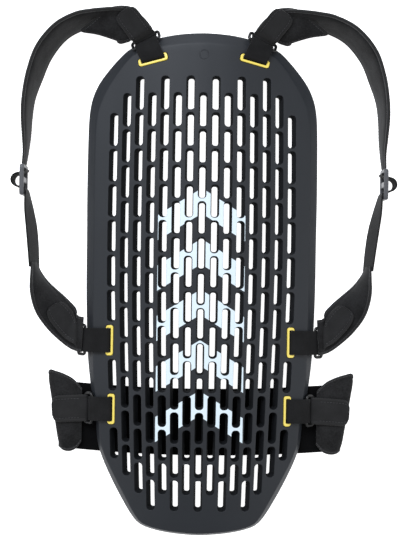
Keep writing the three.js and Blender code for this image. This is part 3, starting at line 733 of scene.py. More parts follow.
def sweep(name, stations, section, materials, side, **given):
    """Carries a closed section along stations. The section gives its points and its faces' materials."""
    rows = []
    around = []
    lengths = chord(np.array([s["centre"] for s in stations]))
    for s in stations:
        shape, kinds = section(s["width"], s["thick"])
        rows.append(s["centre"] + np.outer(shape[:, 0], s["across"]) + np.outer(shape[:, 1], s["through"]))
        around.append(chord(np.vstack([shape, shape[:1]])))
    count = len(rows[0])
    faces = []
    indices = []
    uvs = []
    for i in range(len(rows) - 1):
        for k, face in enumerate(band(i * count, (i + 1) * count, count)):
            faces.append(face)
            indices.append(kinds[k])
            uvs.append(
                [
                    (around[i][k], lengths[i]),
                    (around[i + 1][k], lengths[i + 1]),
                    (around[i + 1][k + 1], lengths[i + 1]),
                    (around[i][k + 1], lengths[i]),
                ]
            )
    for start, turn in ((0, -1), ((len(rows) - 1) * count, 1)):
        cap = [start + k for k in range(count)][::turn]
        faces.append(tuple(cap))
        indices.append(max(kinds))
        uvs.append([(around[0][c - start], lengths[0 if start == 0 else -1]) for c in cap])
    points = np.vstack(rows)
    return add_piece(name, points, faces, materials, indices, uvs, side, **given)


def closed_tube(name, path, outward, facing, section, material, side, **given):
    """Carries a section of (out, up) points around a closed path."""
    count = len(section)
    points = []
    for middle, out in zip(path, outward):
        points += [middle + out * u + facing * v for u, v in section]
    faces = []
    for i in range(len(path)):
        faces += band(i * count, ((i + 1) % len(path)) * count, count)
    return add_piece(name, points, faces, [material], side=side, **given)


def web_section(width, thick):
    """Flat webbing with rounded edges."""
    shape = rounded_outline(width, thick, min(WEB_EDGE_RADIUS, thick / 2.2), arc=3, straight=1)
    extra = []
    for i, point in enumerate(shape):
        ahead = shape[(i + 1) % len(shape)]
        extra.append(point)
        if abs(ahead[0] - point[0]) > width / 2:
            extra += [point + (ahead - point) * share for share in (0.08, 0.3, 0.5, 0.7, 0.92)]
    return np.array(extra), [0] * len(extra)


def pad_section(width, thick):
    """A padded strap whose edges are bound with tape."""
    scale = min(1.0, (width / 2 - 1.0) / PAD_PROFILE[-1]["inset"])
    half = [(width / 2 - row["inset"] * scale, row["high"] * thick) for row in PAD_PROFILE]
    upper = half + [(-u, v) for u, v in reversed(half)]
    lower = [(u, -v) for u, v in reversed(upper[1:-1])]
    shape = np.array(upper + lower)
    limit = width / 2 - BINDING_INSET * scale - 0.01
    kinds = []
    for i, point in enumerate(shape):
        ahead = shape[(i + 1) % len(shape)]
        kinds.append(1 if min(abs(point[0]), abs(ahead[0])) > limit else 0)
    return shape, kinds


# Stations of the straps
def strip_stations(places, width, thick):
    """Stations of a flat strip through places that say which way its width runs."""
    points = np.array([p["point"] for p in places])
    stations = []
    for i, p in enumerate(places):
        ahead = points[min(i + 1, len(points) - 1)] - points[max(i - 1, 0)]
        stations.append(
            {
                "centre": p["point"],
                "across": unit(p["across"]),
                "through": unit(np.cross(p["across"], ahead)),
                "width": width * p.get("narrow", 1.0),
                "thick": thick,
            }
        )
    return stations


def smooth_places(places, step):
    """The same strip with stations every step, and smooth bends between the given ones."""
    keys = chord(np.array([p["point"] for p in places]))
    columns = np.array([[*p["point"], *p["across"], p.get("narrow", 1.0)] for p in places])
    found = hermite(keys, columns, np.linspace(0, keys[-1], max(int(keys[-1] / step), 8)))
    return [{"point": row[:3], "across": unit(row[3:6]), "narrow": row[6]} for row in found]


def around_bar(bar, anchor, wrap):
    """Points of webbing round a loop's bar, from the first to the last angle of its wrap."""
    radius = WIRE_DIAMETER / 2 + FIT + WEB_THICKNESS / 2
    angles = np.radians(np.linspace(*wrap, 6))
    return [bar + radius * (anchor["heading"] * math.cos(a) + anchor["rise"] * math.sin(a)) for a in angles]


def pad_stations(rows, outer_hand, steps):
    """Stations of a padded strap that twists from flat to standing on its edge."""
    last = len(rows) - 1
    places = np.linspace(0, last, steps + 1)
    columns = {k: hermite(range(last + 1), [row[k] for row in rows], places) for k in rows[0]}
    step = 0.05  # Rows, on each side, to find the way the strap runs
    line = np.array([(row["x"], row["y"], 0.0) for row in rows])
    ahead = hermite(range(last + 1), line, np.minimum(places + step, last))
    run = unit(ahead - hermite(range(last + 1), line, np.maximum(places - step, 0)))
    stations = []
    for i in range(steps + 1):
        out = np.array([-run[i][1], run[i][0], 0.0]) * outer_hand
        skew = math.radians(columns["skew"][i])
        out = np.array(
            [
                out[0] * math.cos(skew) - out[1] * math.sin(skew),
                out[0] * math.sin(skew) + out[1] * math.cos(skew),
                0.0,
            ]
        )
        tilt = math.radians(columns["tilt"][i])
        width = columns["width"][i]
        thick = columns["thick"][i]
        height = width / 2 * math.sin(tilt) + thick / 2 * math.cos(tilt) + columns["lift"][i]
        stations.append(
            {
                "centre": np.array([columns["x"][i], columns["y"][i], height]),
                "across": out * math.cos(tilt) + UP * math.sin(tilt),
                "through": UP * math.cos(tilt) - out * math.sin(tilt),
                "width": width,
                "thick": thick,
            }
        )
    return stations


def station_at(stations, distance):
    """The station at a distance along a pad from its loop end."""
    lengths = chord(np.array([s["centre"] for s in stations]))
    found = {}
    for key in ("centre", "across", "through", "thick"):
        found[key] = hermite(lengths, [s[key] for s in stations], distance)
    found["across"] = unit(found["across"])
    found["through"] = unit(found["through"])
    return found


def side_name(side):
    """The side as the photograph shows it, from +1 or -1."""
    return "right" if side > 0 else "left"


# Materials
def linear(hex_colour):
    """An sRGB hex colour as linear red, green, blue and alpha."""
    channels = [int(hex_colour[i : i + 2], 16) / 255 for i in (0, 2, 4)]
    return tuple(c / 12.92 if c <= 0.04045 else ((c + 0.055) / 1.055) ** 2.4 for c in channels) + (1.0,)


def add_node(tree, kind, inputs=None, **settings):
    """Adds a node, sets its settings, and sets or links its inputs."""
    node = tree.nodes.new(kind)
    for name, value in settings.items():
        setattr(node, name, value)
    for socket, value in (inputs or {}).items():
        if isinstance(value, bpy.types.NodeSocket):
            tree.links.new(value, node.inputs[socket])
        else:
            node.inputs[socket].default_value = value
    return node


def new_material(name, colour, **values):
    """A material with one surface shader: its tree and its shader."""
    material = bpy.data.materials.new(name)
    material.use_nodes = True
    material.diffuse_color = linear(colour)
    tree = material.node_tree
    shader = tree.nodes["Principled BSDF"]
    shader.inputs["Base Color"].default_value = linear(colour)
    for socket, value in values.items():
        shader.inputs[socket.replace("_", " ").title().replace("Ior", "IOR")].default_value = value
    return material, tree, shader


def shade_colour(tree, shader, colour, factor, low, high):
    """Mixes a colour from low to high times its brightness, as factor goes from 0 to 1."""
    base = linear(colour)
    mix = add_node(
        tree,
        "ShaderNodeMix",
        {
            "Factor": factor,
            6: tuple(c * low for c in base[:3]) + (1.0,),
            7: tuple(min(1.0, c * high) for c in base[:3]) + (1.0,),
        },
        data_type="RGBA",
    )
    tree.links.new(mix.outputs[2], shader.inputs["Base Color"])
    return mix.outputs[2]


def make_foam():
    """Moulded closed-cell foam with a skin: a dull satin face with a very fine pebble, so the light
    spreads softly over the arch. The pale chevrons are a thin screen print on the outer face."""
    material, tree, shader = new_material("moulded foam skin", colours().foam, roughness=0.52)
    shader.inputs["Specular IOR Level"].default_value = 0.42
    place = add_node(tree, "ShaderNodeTexCoord").outputs["Object"]
    pebble = add_node(tree, "ShaderNodeTexNoise", {"Vector": place, "Scale": 1 / (1.1 * MM), "Detail": 2.0})
    blotch = add_node(tree, "ShaderNodeTexNoise", {"Vector": place, "Scale": 1 / (38 * MM), "Detail": 3.0})
    foam = shade_colour(tree, shader, colours().foam, blotch.outputs[0], 0.86, 1.14)
    # Chevrons: stacked bars that point to the neck end, on the face that looks up
    parts = add_node(tree, "ShaderNodeSeparateXYZ", {0: place}).outputs
    out = add_node(tree, "ShaderNodeMath", {0: parts[0]}, operation="ABSOLUTE").outputs[0]
    slope = add_node(tree, "ShaderNodeMath", {0: out, 1: CHEVRON["slope"]}, operation="MULTIPLY").outputs[0]
    run = add_node(tree, "ShaderNodeMath", {0: parts[1], 1: slope}, operation="ADD").outputs[0]
    low = (CHEVRON["low"] + SHIFT[1]) * MM
    high = (CHEVRON["high"] + SHIFT[1]) * MM
    from_low = add_node(tree, "ShaderNodeMath", {0: run, 1: low}, operation="SUBTRACT").outputs[0]
    turns = add_node(tree, "ShaderNodeMath", {0: from_low, 1: CHEVRON["pitch"] * MM}, operation="DIVIDE")
    share = add_node(tree, "ShaderNodeMath", {0: turns.outputs[0]}, operation="FRACT").outputs[0]
    tests = [
        (share, "LESS_THAN", CHEVRON["bar"] / CHEVRON["pitch"]),
        (out, "LESS_THAN", CHEVRON["half"] * MM),
        (run, "GREATER_THAN", low),
        (run, "LESS_THAN", high),
    ]
    normal = add_node(tree, "ShaderNodeNewGeometry").outputs["Normal"]
    upward = add_node(tree, "ShaderNodeSeparateXYZ", {0: normal}).outputs[2]
    tests.append((upward, "GREATER_THAN", PRINT_FACES_UP))
    mask = None
    for value, operation, limit in tests:
        test = add_node(tree, "ShaderNodeMath", {0: value, 1: limit}, operation=operation).outputs[0]
        if mask is not None:
            test = add_node(tree, "ShaderNodeMath", {0: mask, 1: test}, operation="MULTIPLY").outputs[0]
        mask = test
    ink = add_node(tree, "ShaderNodeMix", {0: mask, 6: foam, 7: linear(colours().print)}, data_type="RGBA")
    tree.links.new(ink.outputs[2], shader.inputs["Base Color"])
    # A small moulded ring near the neck end
    ring_middle = (0.0, (RING["y"] + SHIFT[1]) * MM, float(base_height(0.0, RING["y"])) * MM)
    away = add_node(tree, "ShaderNodeVectorMath", {0: place, 1: ring_middle}, operation="DISTANCE")
    past = {0: away.outputs["Value"], 1: RING["radius"] * MM}
    off = add_node(tree, "ShaderNodeMath", past, operation="SUBTRACT").outputs[0]
    off = add_node(tree, "ShaderNodeMath", {0: off}, operation="ABSOLUTE").outputs[0]
    ridge = add_node(
        tree,
        "ShaderNodeMapRange",
        {
            "Value": off,
            "From Min": RING["crest"] * MM,
            "From Max": RING["foot"] * MM,
            "To Min": 1.0,
            "To Max": 0.0,
        },
        interpolation_type="SMOOTHSTEP",
    )
    fine = add_node(
        tree,
        "ShaderNodeBump",
        {"Strength": 0.16, "Distance": 0.12 * MM, "Height": pebble.outputs[0]},
    )
    raised = add_node(
        tree,
        "ShaderNodeBump",
        {"Strength": 0.8, "Distance": 0.35 * MM, "Height": ridge.outputs[0], "Normal": fine.outputs[0]},
    )
    tree.links.new(raised.outputs[0], shader.inputs["Normal"])
    return material


def make_shaded_slot_foam():
    """The same foam in the slots, drawn open-pored with next to no gloss. Its darker colour is painted
    shade, so the slots look deep."""
    material, tree, shader = new_material("slot foam with painted shade", colours().wall, roughness=0.95)
    shader.inputs["Specular IOR Level"].default_value = 0.1
    place = add_node(tree, "ShaderNodeTexCoord").outputs["Object"]
    pores = add_node(tree, "ShaderNodeTexNoise", {"Vector": place, "Scale": 1 / (1.4 * MM), "Detail": 2.0})
    shade_colour(tree, shader, colours().wall, pores.outputs[0], 0.7, 1.3)
    return material


def make_rim():
    """Injection-moulded polypropylene: even satin yellow with soft highlights on its rounded edges."""
    material, tree, shader = new_material("moulded polypropylene", colours().rim, roughness=0.26)
    place = add_node(tree, "ShaderNodeTexCoord").outputs["Object"]
    grain = add_node(tree, "ShaderNodeTexNoise", {"Vector": place, "Scale": 1 / (0.6 * MM)})
    bump = add_node(
        tree,
        "ShaderNodeBump",
        {"Strength": 0.08, "Distance": 0.05 * MM, "Height": grain.outputs[0]},
    )
    tree.links.new(bump.outputs[0], shader.inputs["Normal"])
    return material


def make_weave(name, colour, rib, pick, strength, roughness, low, high, sheen=0.12):
    """Woven yarn: ribs across and picks along, both from their real spacing in millimetres, and a
    brightness that goes from low to high times the colour's own."""
    material, tree, shader = new_material(name, colour, roughness=roughness)
    shader.inputs["Sheen Weight"].default_value = sheen
    shader.inputs["Sheen Roughness"].default_value = 0.5
    shader.inputs["Specular IOR Level"].default_value = 0.08 + 1.8 * sheen
    place = add_node(tree, "ShaderNodeTexCoord").outputs["UV"]
    parts = add_node(tree, "ShaderNodeSeparateXYZ", {0: place}).outputs
    waves = []
    for socket, spacing in ((parts[0], rib), (parts[1], pick)):
        per_metre = 2 * math.pi / (spacing * MM)
        turns = add_node(tree, "ShaderNodeMath", {0: socket, 1: per_metre}, operation="MULTIPLY")
        waves.append(add_node(tree, "ShaderNodeMath", {0: turns.outputs[0]}, operation="SINE").outputs[0])
    crossing = add_node(tree, "ShaderNodeMath", {0: waves[0], 1: waves[1]}, operation="MULTIPLY").outputs[0]
    height = add_node(
        tree,
        "ShaderNodeMapRange",
        {"Value": crossing, "From Min": -1.0, "From Max": 1.0, "To Min": 0.0, "To Max": 1.0},
    ).outputs[0]
    body = add_node(tree, "ShaderNodeTexCoord").outputs["Object"]
    # The yarn's fuzz is finer than a pixel, so it is drawn at twice its size
    fuzz = add_node(tree, "ShaderNodeTexNoise", {"Vector": body, "Scale": 1 / (1.8 * MM), "Detail": 3.0})
    worn = add_node(tree, "ShaderNodeTexNoise", {"Vector": body, "Scale": 1 / (14 * MM), "Detail": 2.0})
    both = add_node(tree, "ShaderNodeMath", {0: height, 1: fuzz.outputs[0]}, operation="ADD").outputs[0]
    factor = add_node(tree, "ShaderNodeMath", {0: both, 1: worn.outputs[0]}, operation="MULTIPLY")
    shade_colour(tree, shader, colour, factor.outputs[0], low, high)
    bump = add_node(tree, "ShaderNodeBump", {"Strength": strength, "Distance": 0.35 * MM, "Height": both})
    tree.links.new(bump.outputs[0], shader.inputs["Normal"])
    return material


def make_cover():
    """Knitted polyester over foam: a matt cloth with a fine stitch and a little lint, whose
    edges catch a faint sheen."""
    material, tree, shader = new_material("knitted polyester cover", colours().cover, roughness=0.82)
    shader.inputs["Sheen Weight"].default_value = 0.05
    shader.inputs["Sheen Roughness"].default_value = 0.45
    shader.inputs["Specular IOR Level"].default_value = 0.15
    place = add_node(tree, "ShaderNodeTexCoord").outputs["UV"]
    stitches = {"Vector": place, "Scale": 1 / (1.0 * MM), "Randomness": 0.35}
    knit = add_node(tree, "ShaderNodeTexVoronoi", stitches).outputs["Distance"]
    body = add_node(tree, "ShaderNodeTexCoord").outputs["Object"]
    # Lint is finer than a pixel too, and is drawn about twice its size
    lint = add_node(tree, "ShaderNodeTexNoise", {"Vector": body, "Scale": 1 / (1.6 * MM), "Detail": 2.0})
    soft = add_node(tree, "ShaderNodeTexNoise", {"Vector": body, "Scale": 1 / (17 * MM), "Detail": 2.0})
    both = {0: lint.outputs[0], 1: soft.outputs[0]}
    mixed = add_node(tree, "ShaderNodeMath", both, operation="ADD").outputs[0]
    factor = add_node(
        tree,
        "ShaderNodeMapRange",
        {"Value": mixed, "From Min": 0.75, "From Max": 1.25, "To Min": 0.0, "To Max": 1.0},
    ).outputs[0]
    shade_colour(tree, shader, colours().cover, factor, 0.6, 1.5)
    fine = add_node(tree, "ShaderNodeBump", {"Strength": 0.3, "Distance": 0.25 * MM, "Height": knit})
    wrinkle = add_node(
        tree,
        "ShaderNodeBump",
        {"Strength": 0.35, "Distance": 2.0 * MM, "Height": soft.outputs[0], "Normal": fine.outputs[0]},
    )
    tree.links.new(wrinkle.outputs[0], shader.inputs["Normal"])
    return material


def make_webbing():
    """Woven polyester webbing: tight ribs that break the light into a fine grain, and no gloss."""
    return make_weave("woven polyester webbing", colours().webbing, 1.3, 1.9, 0.5, 0.8, 0.4, 1.3, 0.04)


def make_tab():
    """Hook-and-loop tape: a brushed loop face, duller and more uneven than webbing."""
    return make_weave("brushed loop tape", colours().webbing, 0.9, 1.0, 0.35, 0.88, 0.5, 1.8)


def make_binding():
    """Woven nylon binding tape: closer ribs and a slight gloss along the edge."""
    return make_weave("woven nylon binding", colours().binding, 0.9, 1.1, 0.4, 0.62, 0.8, 1.3)


def make_elastic():
    """Woven elastic: wide ribs that run with the belt, black and dull."""
    return make_weave("woven elastic", colours().belt, 2.4, 1.2, 0.6, 0.8, 0.8, 1.5, 0.0)


def make_plastic(name, colour, roughness):
    """Moulded acetal: a smooth dense plastic with clear highlights and faint scuffs."""
    material, tree, shader = new_material(name, colour, roughness=roughness)
    place = add_node(tree, "ShaderNodeTexCoord").outputs["Object"]
    scuff = add_node(tree, "ShaderNodeTexNoise", {"Vector": place, "Scale": 1 / (3 * MM), "Detail": 5.0})
    rough = add_node(
        tree,
        "ShaderNodeMapRange",
        {"Value": scuff.outputs[0], "To Min": roughness * 0.75, "To Max": roughness * 1.35},
    )
    tree.links.new(rough.outputs[0], shader.inputs["Roughness"])
    return material


def make_loop_plastic():
    """Acetal from a polished mould: glossy, with a narrow highlight round the wire."""
    return make_plastic("moulded gloss acetal", colours().wire, 0.3)


def make_slider_plastic():
    """Acetal from a textured mould: a satin grey whose highlights are wide."""
    return make_plastic("moulded satin acetal", colours().slider, 0.42)


def make_thread():
    """Bonded polyester thread: a twisted yarn, slightly glossier than the cloth around it."""
    material, tree, shader = new_material("bonded polyester thread", colours().thread, roughness=0.55)
    place = add_node(tree, "ShaderNodeTexCoord").outputs["Object"]
    twist = add_node(tree, "ShaderNodeTexNoise", {"Vector": place, "Scale": 1 / (0.4 * MM)})
    shade_colour(tree, shader, colours().thread, twist.outputs[0], 0.8, 1.2)
    return material


def make_floor():
    """Matt painted studio board: an even white that spreads the light back up. It gives off a little
    light of its own, as an overexposed backdrop does."""
    material, tree, shader = new_material("matt painted board", colours().floor, roughness=0.9)
    place = add_node(tree, "ShaderNodeTexCoord").outputs["Object"]
    grain = add_node(tree, "ShaderNodeTexNoise", {"Vector": place, "Scale": 1 / (6 * MM)})
    shade_colour(tree, shader, colours().floor, grain.outputs[0], 0.99, 1.0)
    shader.inputs["Emission Color"].default_value = (1.0, 1.0, 1.0, 1.0)
    shader.inputs["Emission Strength"].default_value = FLOOR_GLOW
    return material


MAKERS = {
    "foam": make_foam,
    "wall": make_shaded_slot_foam,
    "rim": make_rim,
    "webbing": make_webbing,
    "tab": make_tab,
    "cover": make_cover,
    "binding": make_binding,
    "elastic": make_elastic,
    "thread": make_thread,
    "wire": make_loop_plastic,
    "slider": make_slider_plastic,
    "floor": make_floor,
}
MATERIALS = {}


def finish_of(name):
    """The material of that name, made when it is first asked for."""
    if name not in MATERIALS:
        MATERIALS[name] = MAKERS[name]()
    return MATERIALS[name]


# Foam panel
def panel_rings(count):
    """The outline and the bevel's inner line, counterclockwise from above, as evenly spaced points."""
    rows = np.array([(HALF_PANEL * r["half"], LOWER_END + PANEL_LENGTH * r["along"]) for r in OUTLINE])
    bevels = np.array([BEVEL_WIDTH * r["bevel"] for r in OUTLINE])
    ring = np.vstack([rows[::-1], rows[1:-1] * np.array([-1, 1])])
    ring_bevels = np.concatenate([bevels[::-1], bevels[1:-1]])
    around = np.vstack([ring[-3:], ring, ring[:4]])
    around_bevels = np.concatenate([ring_bevels[-3:], ring_bevels, ring_bevels[:4]])
    keys = chord(around)
    start = keys[3]
    end = keys[3 + len(ring)]
    places = np.linspace(start, end, count, endpoint=False)
    outer = hermite(keys, around, places)
    bevel = hermite(keys, around_bevels, places)
    return outer, outer - outward_from(outer) * bevel[:, None]


def inside_ring(points, ring, land):
    """Which points lie inside a ring and at least land away from it."""
    inside = np.zeros(len(points), bool)
    near = np.full(len(points), 1e9)
    for a, b in zip(ring, np.roll(ring, -1, axis=0)):
        level = (a[1] > points[:, 1]) != (b[1] > points[:, 1])
        with np.errstate(divide="ignore", invalid="ignore"):
            cut = (b[0] - a[0]) * (points[:, 1] - a[1]) / (b[1] - a[1]) + a[0]
        inside ^= level & (points[:, 0] < cut)
        edge = b - a
        share = np.clip(((points - a) @ edge) / edge.dot(edge), 0, 1)
        near = np.minimum(near, np.linalg.norm(points - (a + share[:, None] * edge), axis=1))
    return inside & (near >= land)


def panel_holes(inner):
    """Every slot and eyelet hole: its place, turn and size."""
    holes = []
    for column in range(-OUTER_COLUMN, OUTER_COLUMN + 1):
        for row in range(SLOT_ROWS):
            here = slot_place(column, row)
            ahead = slot_place(column, row + 1)
            hole = {
                "place": here,
                "turn": math.atan2(ahead[0] - here[0], here[1] - ahead[1]),
                "width": SLOT_WIDTH,
                "length": here[1] - ahead[1] - SLOT_BRIDGE,
                "corner": sizes().slot_corner / MM,
                "open": SLOT_OPEN,
                "close": SLOT_CLOSE + SLOT_CLOSE_MORE * row / (SLOT_ROWS - 1),
            }
            is_eyelet = abs(column) == OUTER_COLUMN and row in (MID_ROW, LOW_ROW)
            cut = hole_ring({**hole, "corner": SLOT_CORNER}, 0.0)[:, :2]
            if not is_eyelet and inside_ring(cut, inner, SLOT_LAND).all():
                holes.append(hole)
    for anchor in ANCHORS.values():
        for side in (1, -1):
            holes.append(
                {
                    "place": anchor["hole"] * np.array([side, 1]),
                    "turn": anchor["turn"] if side > 0 else math.pi - anchor["turn"],
                    "width": EYELET_WIDTH + 2 * FIT,
                    "length": EYELET_LENGTH + 2 * FIT,
                    "corner": SLOT_CORNER,
                    "open": 0.0,
                    "close": 0.0,
                }
            )
    return holes


def hole_ring(hole, grow):
    """A hole's outline on the outer surface, grown by a distance."""
    here = panel_frame(hole["place"][0], hole["place"][1], hole["turn"])
    flat = rounded_outline(hole["width"], hole["length"], hole["corner"], grow)
    points = here["base"] + np.outer(flat[:, 0], here["heading"]) + np.outer(flat[:, 1], here["across"])
    for _ in range(4):
        off = (base_height(points[:, 0], points[:, 1]) - points[:, 2]) / here["rise"][2]
        points = points + np.outer(off, here["rise"])
    return points


def hole_levels(hole, rounding):
    """Rings down a hole's wall: rounded at both edges, and closing in from the upper to the lower one."""
    rise = panel_frame(hole["place"][0], hole["place"][1], hole["turn"])["rise"]
    thickness = float(thickness_at(hole["place"][0]))
    under = UNDERSIDE_ROUNDING
    rings = []
    for angle in (0, 30, 60, 90):
        bend = math.radians(angle)
        grown = hole_ring(hole, hole["open"] + rounding * (1 - math.sin(bend)))
        rings.append(grown - rise * rounding * (1 - math.cos(bend)))
    for angle in (90, 45, 0):
        bend = math.radians(angle)
        grown = hole_ring(hole, under * (1 - math.sin(bend)) - hole["close"])
        rings.append(grown - rise * (thickness - under * (1 - math.cos(bend))))
    return rings


def arch_points(inner, holes, rounding):
    """Points of a grid that carry the arch where there are no slots."""
    grid_x, grid_y = np.meshgrid(
        np.arange(-HALF_PANEL, HALF_PANEL, GRID_PITCH) + GRID_START[0],
        np.arange(LOWER_END, NECK_END, GRID_PITCH) + GRID_START[1],
    )
    points = np.stack([grid_x.ravel(), grid_y.ravel()], axis=-1)
    points = points[inside_ring(points, inner, GRID_EDGE_LAND)]
    for hole in holes:
        turn = hole["turn"]
        away = points - hole["place"]
        u = away @ np.array([math.cos(turn), math.sin(turn)])
        v = away @ np.array([-math.sin(turn), math.cos(turn)])
        land = hole["open"] + rounding + GRID_SLOT_LAND
        beside = np.abs(u) > hole["width"] / 2 + land
        beyond = np.abs(v) > hole["length"] / 2 + land
        points = points[beside | beyond]
    return points


def face_triangles(flat, count, hole_count, ring_size):
    """Triangles of the panel's face, counterclockwise, between its inner line and the holes.

    The flat points are the inner line's count, then each hole's ring, then the grid's."""
    on_grid = -1
    on_line = -2
    owner = np.full(len(flat), on_grid)
    owner[:count] = on_line
    edges = [(i, (i + 1) % count) for i in range(count)]
    for h in range(hole_count):
        start = count + h * ring_size
        owner[start : start + ring_size] = h
        edges += [(start + i, start + (i + 1) % ring_size) for i in range(ring_size)]
    spots = [Vector(p) for p in flat]
    made, _, triangles, origins, _, _ = geometry.delaunay_2d_cdt(spots, edges, [], 0, 1e-5)
    crossed = [tuple(made[i]) for i, origin in enumerate(origins) if not origin]
    if crossed:
        raise RuntimeError(f"the panel's edges cross at {crossed[:6]}")
    kept = []
    for triangle in triangles:
        corners = [origins[i][0] for i in triangle]
        owners = {int(owner[c]) for c in corners}
        # Three corners of one ring span a hole, or what lies outside the inner line
        if len(owners) == 1 and on_grid not in owners:
            middle = flat[corners].mean(axis=0)
            if on_line not in owners or not inside_ring(middle[None], flat[:count], 0.0)[0]:
                continue
        a, b, c = flat[corners]
        if (b[0] - a[0]) * (c[1] - a[1]) - (b[1] - a[1]) * (c[0] - a[0]) < 0:
            corners.reverse()
        kept.append(tuple(corners))
    return kept


def build_panel():
    """The slotted panel: an upper and a lower face of the same triangles, the bevelled edge between
    them, and every hole's wall."""
    outer, inner = panel_rings(EDGE_POINTS)
    count = len(inner)
    holes = panel_holes(inner)
    rounding = sizes().slot_rounding / MM
    levels = [hole_levels(hole, rounding) for hole in holes]
    ring_size = len(levels[0][0])
    arch = arch_points(inner, holes, rounding)
    flat = np.vstack([inner, *(rings[0][:, :2] for rings in levels), arch])
    upward = face_triangles(flat, count, len(holes), ring_size)

    size = len(flat)
    points = [on_panel(inner[:, 0], inner[:, 1], np.zeros(count))]
    points += [rings[0] for rings in levels]
    points.append(on_panel(arch[:, 0], arch[:, 1], np.zeros(len(arch))))
    points.append(on_panel(inner[:, 0], inner[:, 1], -thickness_at(inner[:, 0])))
    points += [rings[-1] for rings in levels]
    points.append(on_panel(arch[:, 0], arch[:, 1], -thickness_at(arch[:, 0])))
    faces = upward + [tuple(size + c for c in reversed(t)) for t in upward]
    total = 2 * size

    before = 0
    for row in EDGE_PROFILE:
        line = inner + (outer - inner) * row["out"]
        points.append(np.column_stack([line, base_height(line[:, 0], line[:, 1]) - row["drop"]]))
        faces += band(before, total, count)
        before = total
        total += count
    faces += band(before, size, count)
    kinds = [0] * len(faces)
    for h, rings in enumerate(levels):
        before = count + h * ring_size
        for k, ring in enumerate(rings[1:-1]):
            points.append(ring)
            faces += band(total, before, ring_size)
            # The rounded upper edge keeps the face's skin; the wall below it takes the darker slot foam,
            # which is painted shade
            kinds += [int(k > 1)] * ring_size
            before = total
            total += ring_size
        faces += band(size + count + h * ring_size, before, ring_size)
        kinds += [1] * ring_size
    piece = add_piece(
        "moulded_panel",
        np.vstack(points),
        faces,
        [finish_of("foam"), finish_of("wall")],
        kinds,
        nodes=["foam_panel"],
        slot="foam",
    )
    weighted_normals(piece)


# Eyelets and loops
def build_eyelet(anchor, side):
    """The eyelet's liner: a wide bar on the inner side, and a low rounded lip above the foam."""
    here = panel_frame(anchor["hole"][0], anchor["hole"][1], anchor["turn"])
    window_width = EYELET_WIDTH - EYELET_BAR - EYELET_OUTER_WALL
    outside = {"width": EYELET_WIDTH, "length": EYELET_LENGTH, "corner": SLOT_CORNER}
    window = {"width": window_width, "length": WEB_WIDTH + 2 * FIT, "corner": WINDOW_CORNER}
    foot = -float(thickness_at(anchor["hole"][0])) - EYELET_LIP / 2
    rings = [(outside, 0.0, foot, 0.0)]
    for row in LIP_PROFILE:
        rings.append((outside, -row["inset"], EYELET_LIP * row["high"], 0.0))
    for row in reversed(LIP_PROFILE):
        rings.append((window, row["inset"], EYELET_LIP * row["high"], WINDOW_SHIFT))
    rings.append((window, 0.0, foot, WINDOW_SHIFT))
    points = []
    for shape, grow, height, shift in rings:
        flat = rounded_outline(shape["width"], shape["length"], shape["corner"], grow)
        flat = flat + np.array([shift, 0.0])
        ring = here["base"] + np.outer(flat[:, 0], here["heading"]) + np.outer(flat[:, 1], here["across"])
        points.append(ring + here["rise"] * height)
    count = len(points[0])
    faces = []
    for k in range(len(rings)):
        faces += band(k * count, ((k + 1) % len(rings)) * count, count)
    name = f"eyelet_{anchor['name']}_{side_name(side)}"
    piece = add_piece(
        f"moulded_{name}",
        np.vstack(points),
        faces,
        [finish_of("rim")],
        side=side,
        nodes=[name],
        slot="rim",
    )
    weighted_normals(piece)


def build_loop(anchor, side):
    """A rounded rectangle of round plastic wire."""
    along = anchor["run"]
    across = anchor["across"]
    centre = anchor["bar"] + along * WIRE_SPACING / 2
    half_across = WEB_WIDTH / 2 + 4 * FIT + WIRE_DIAMETER / 2
    outline = rounded_outline(2 * half_across, WIRE_SPACING, LOOP_CORNER, arc=6, straight=1)
    path = [centre + across * u + along * v for u, v in outline]
    outs = [across * u + along * v for u, v in outward_from(outline)]
    angles = np.radians(np.arange(0, 360, 30))
    section = [(WIRE_DIAMETER / 2 * math.cos(a), WIRE_DIAMETER / 2 * math.sin(a)) for a in angles]
    name = f"loop_{anchor['name']}_{side_name(side)}"
    closed_tube(
        f"moulded_{name}",
        path,
        outs,
        np.cross(across, along),
        section,
        finish_of("wire"),
        side,
        nodes=[name],
        slot="wire",
    )


def build_webbing(node, places, step, side):
    """Webbing through places, with a station every step."""
    stations = strip_stations(smooth_places(places, step), WEB_WIDTH, WEB_THICKNESS)
    cloth = [finish_of("webbing")]
    sweep(f"woven_{node}", stations, web_section, cloth, side, nodes=[node], slot="webbing")


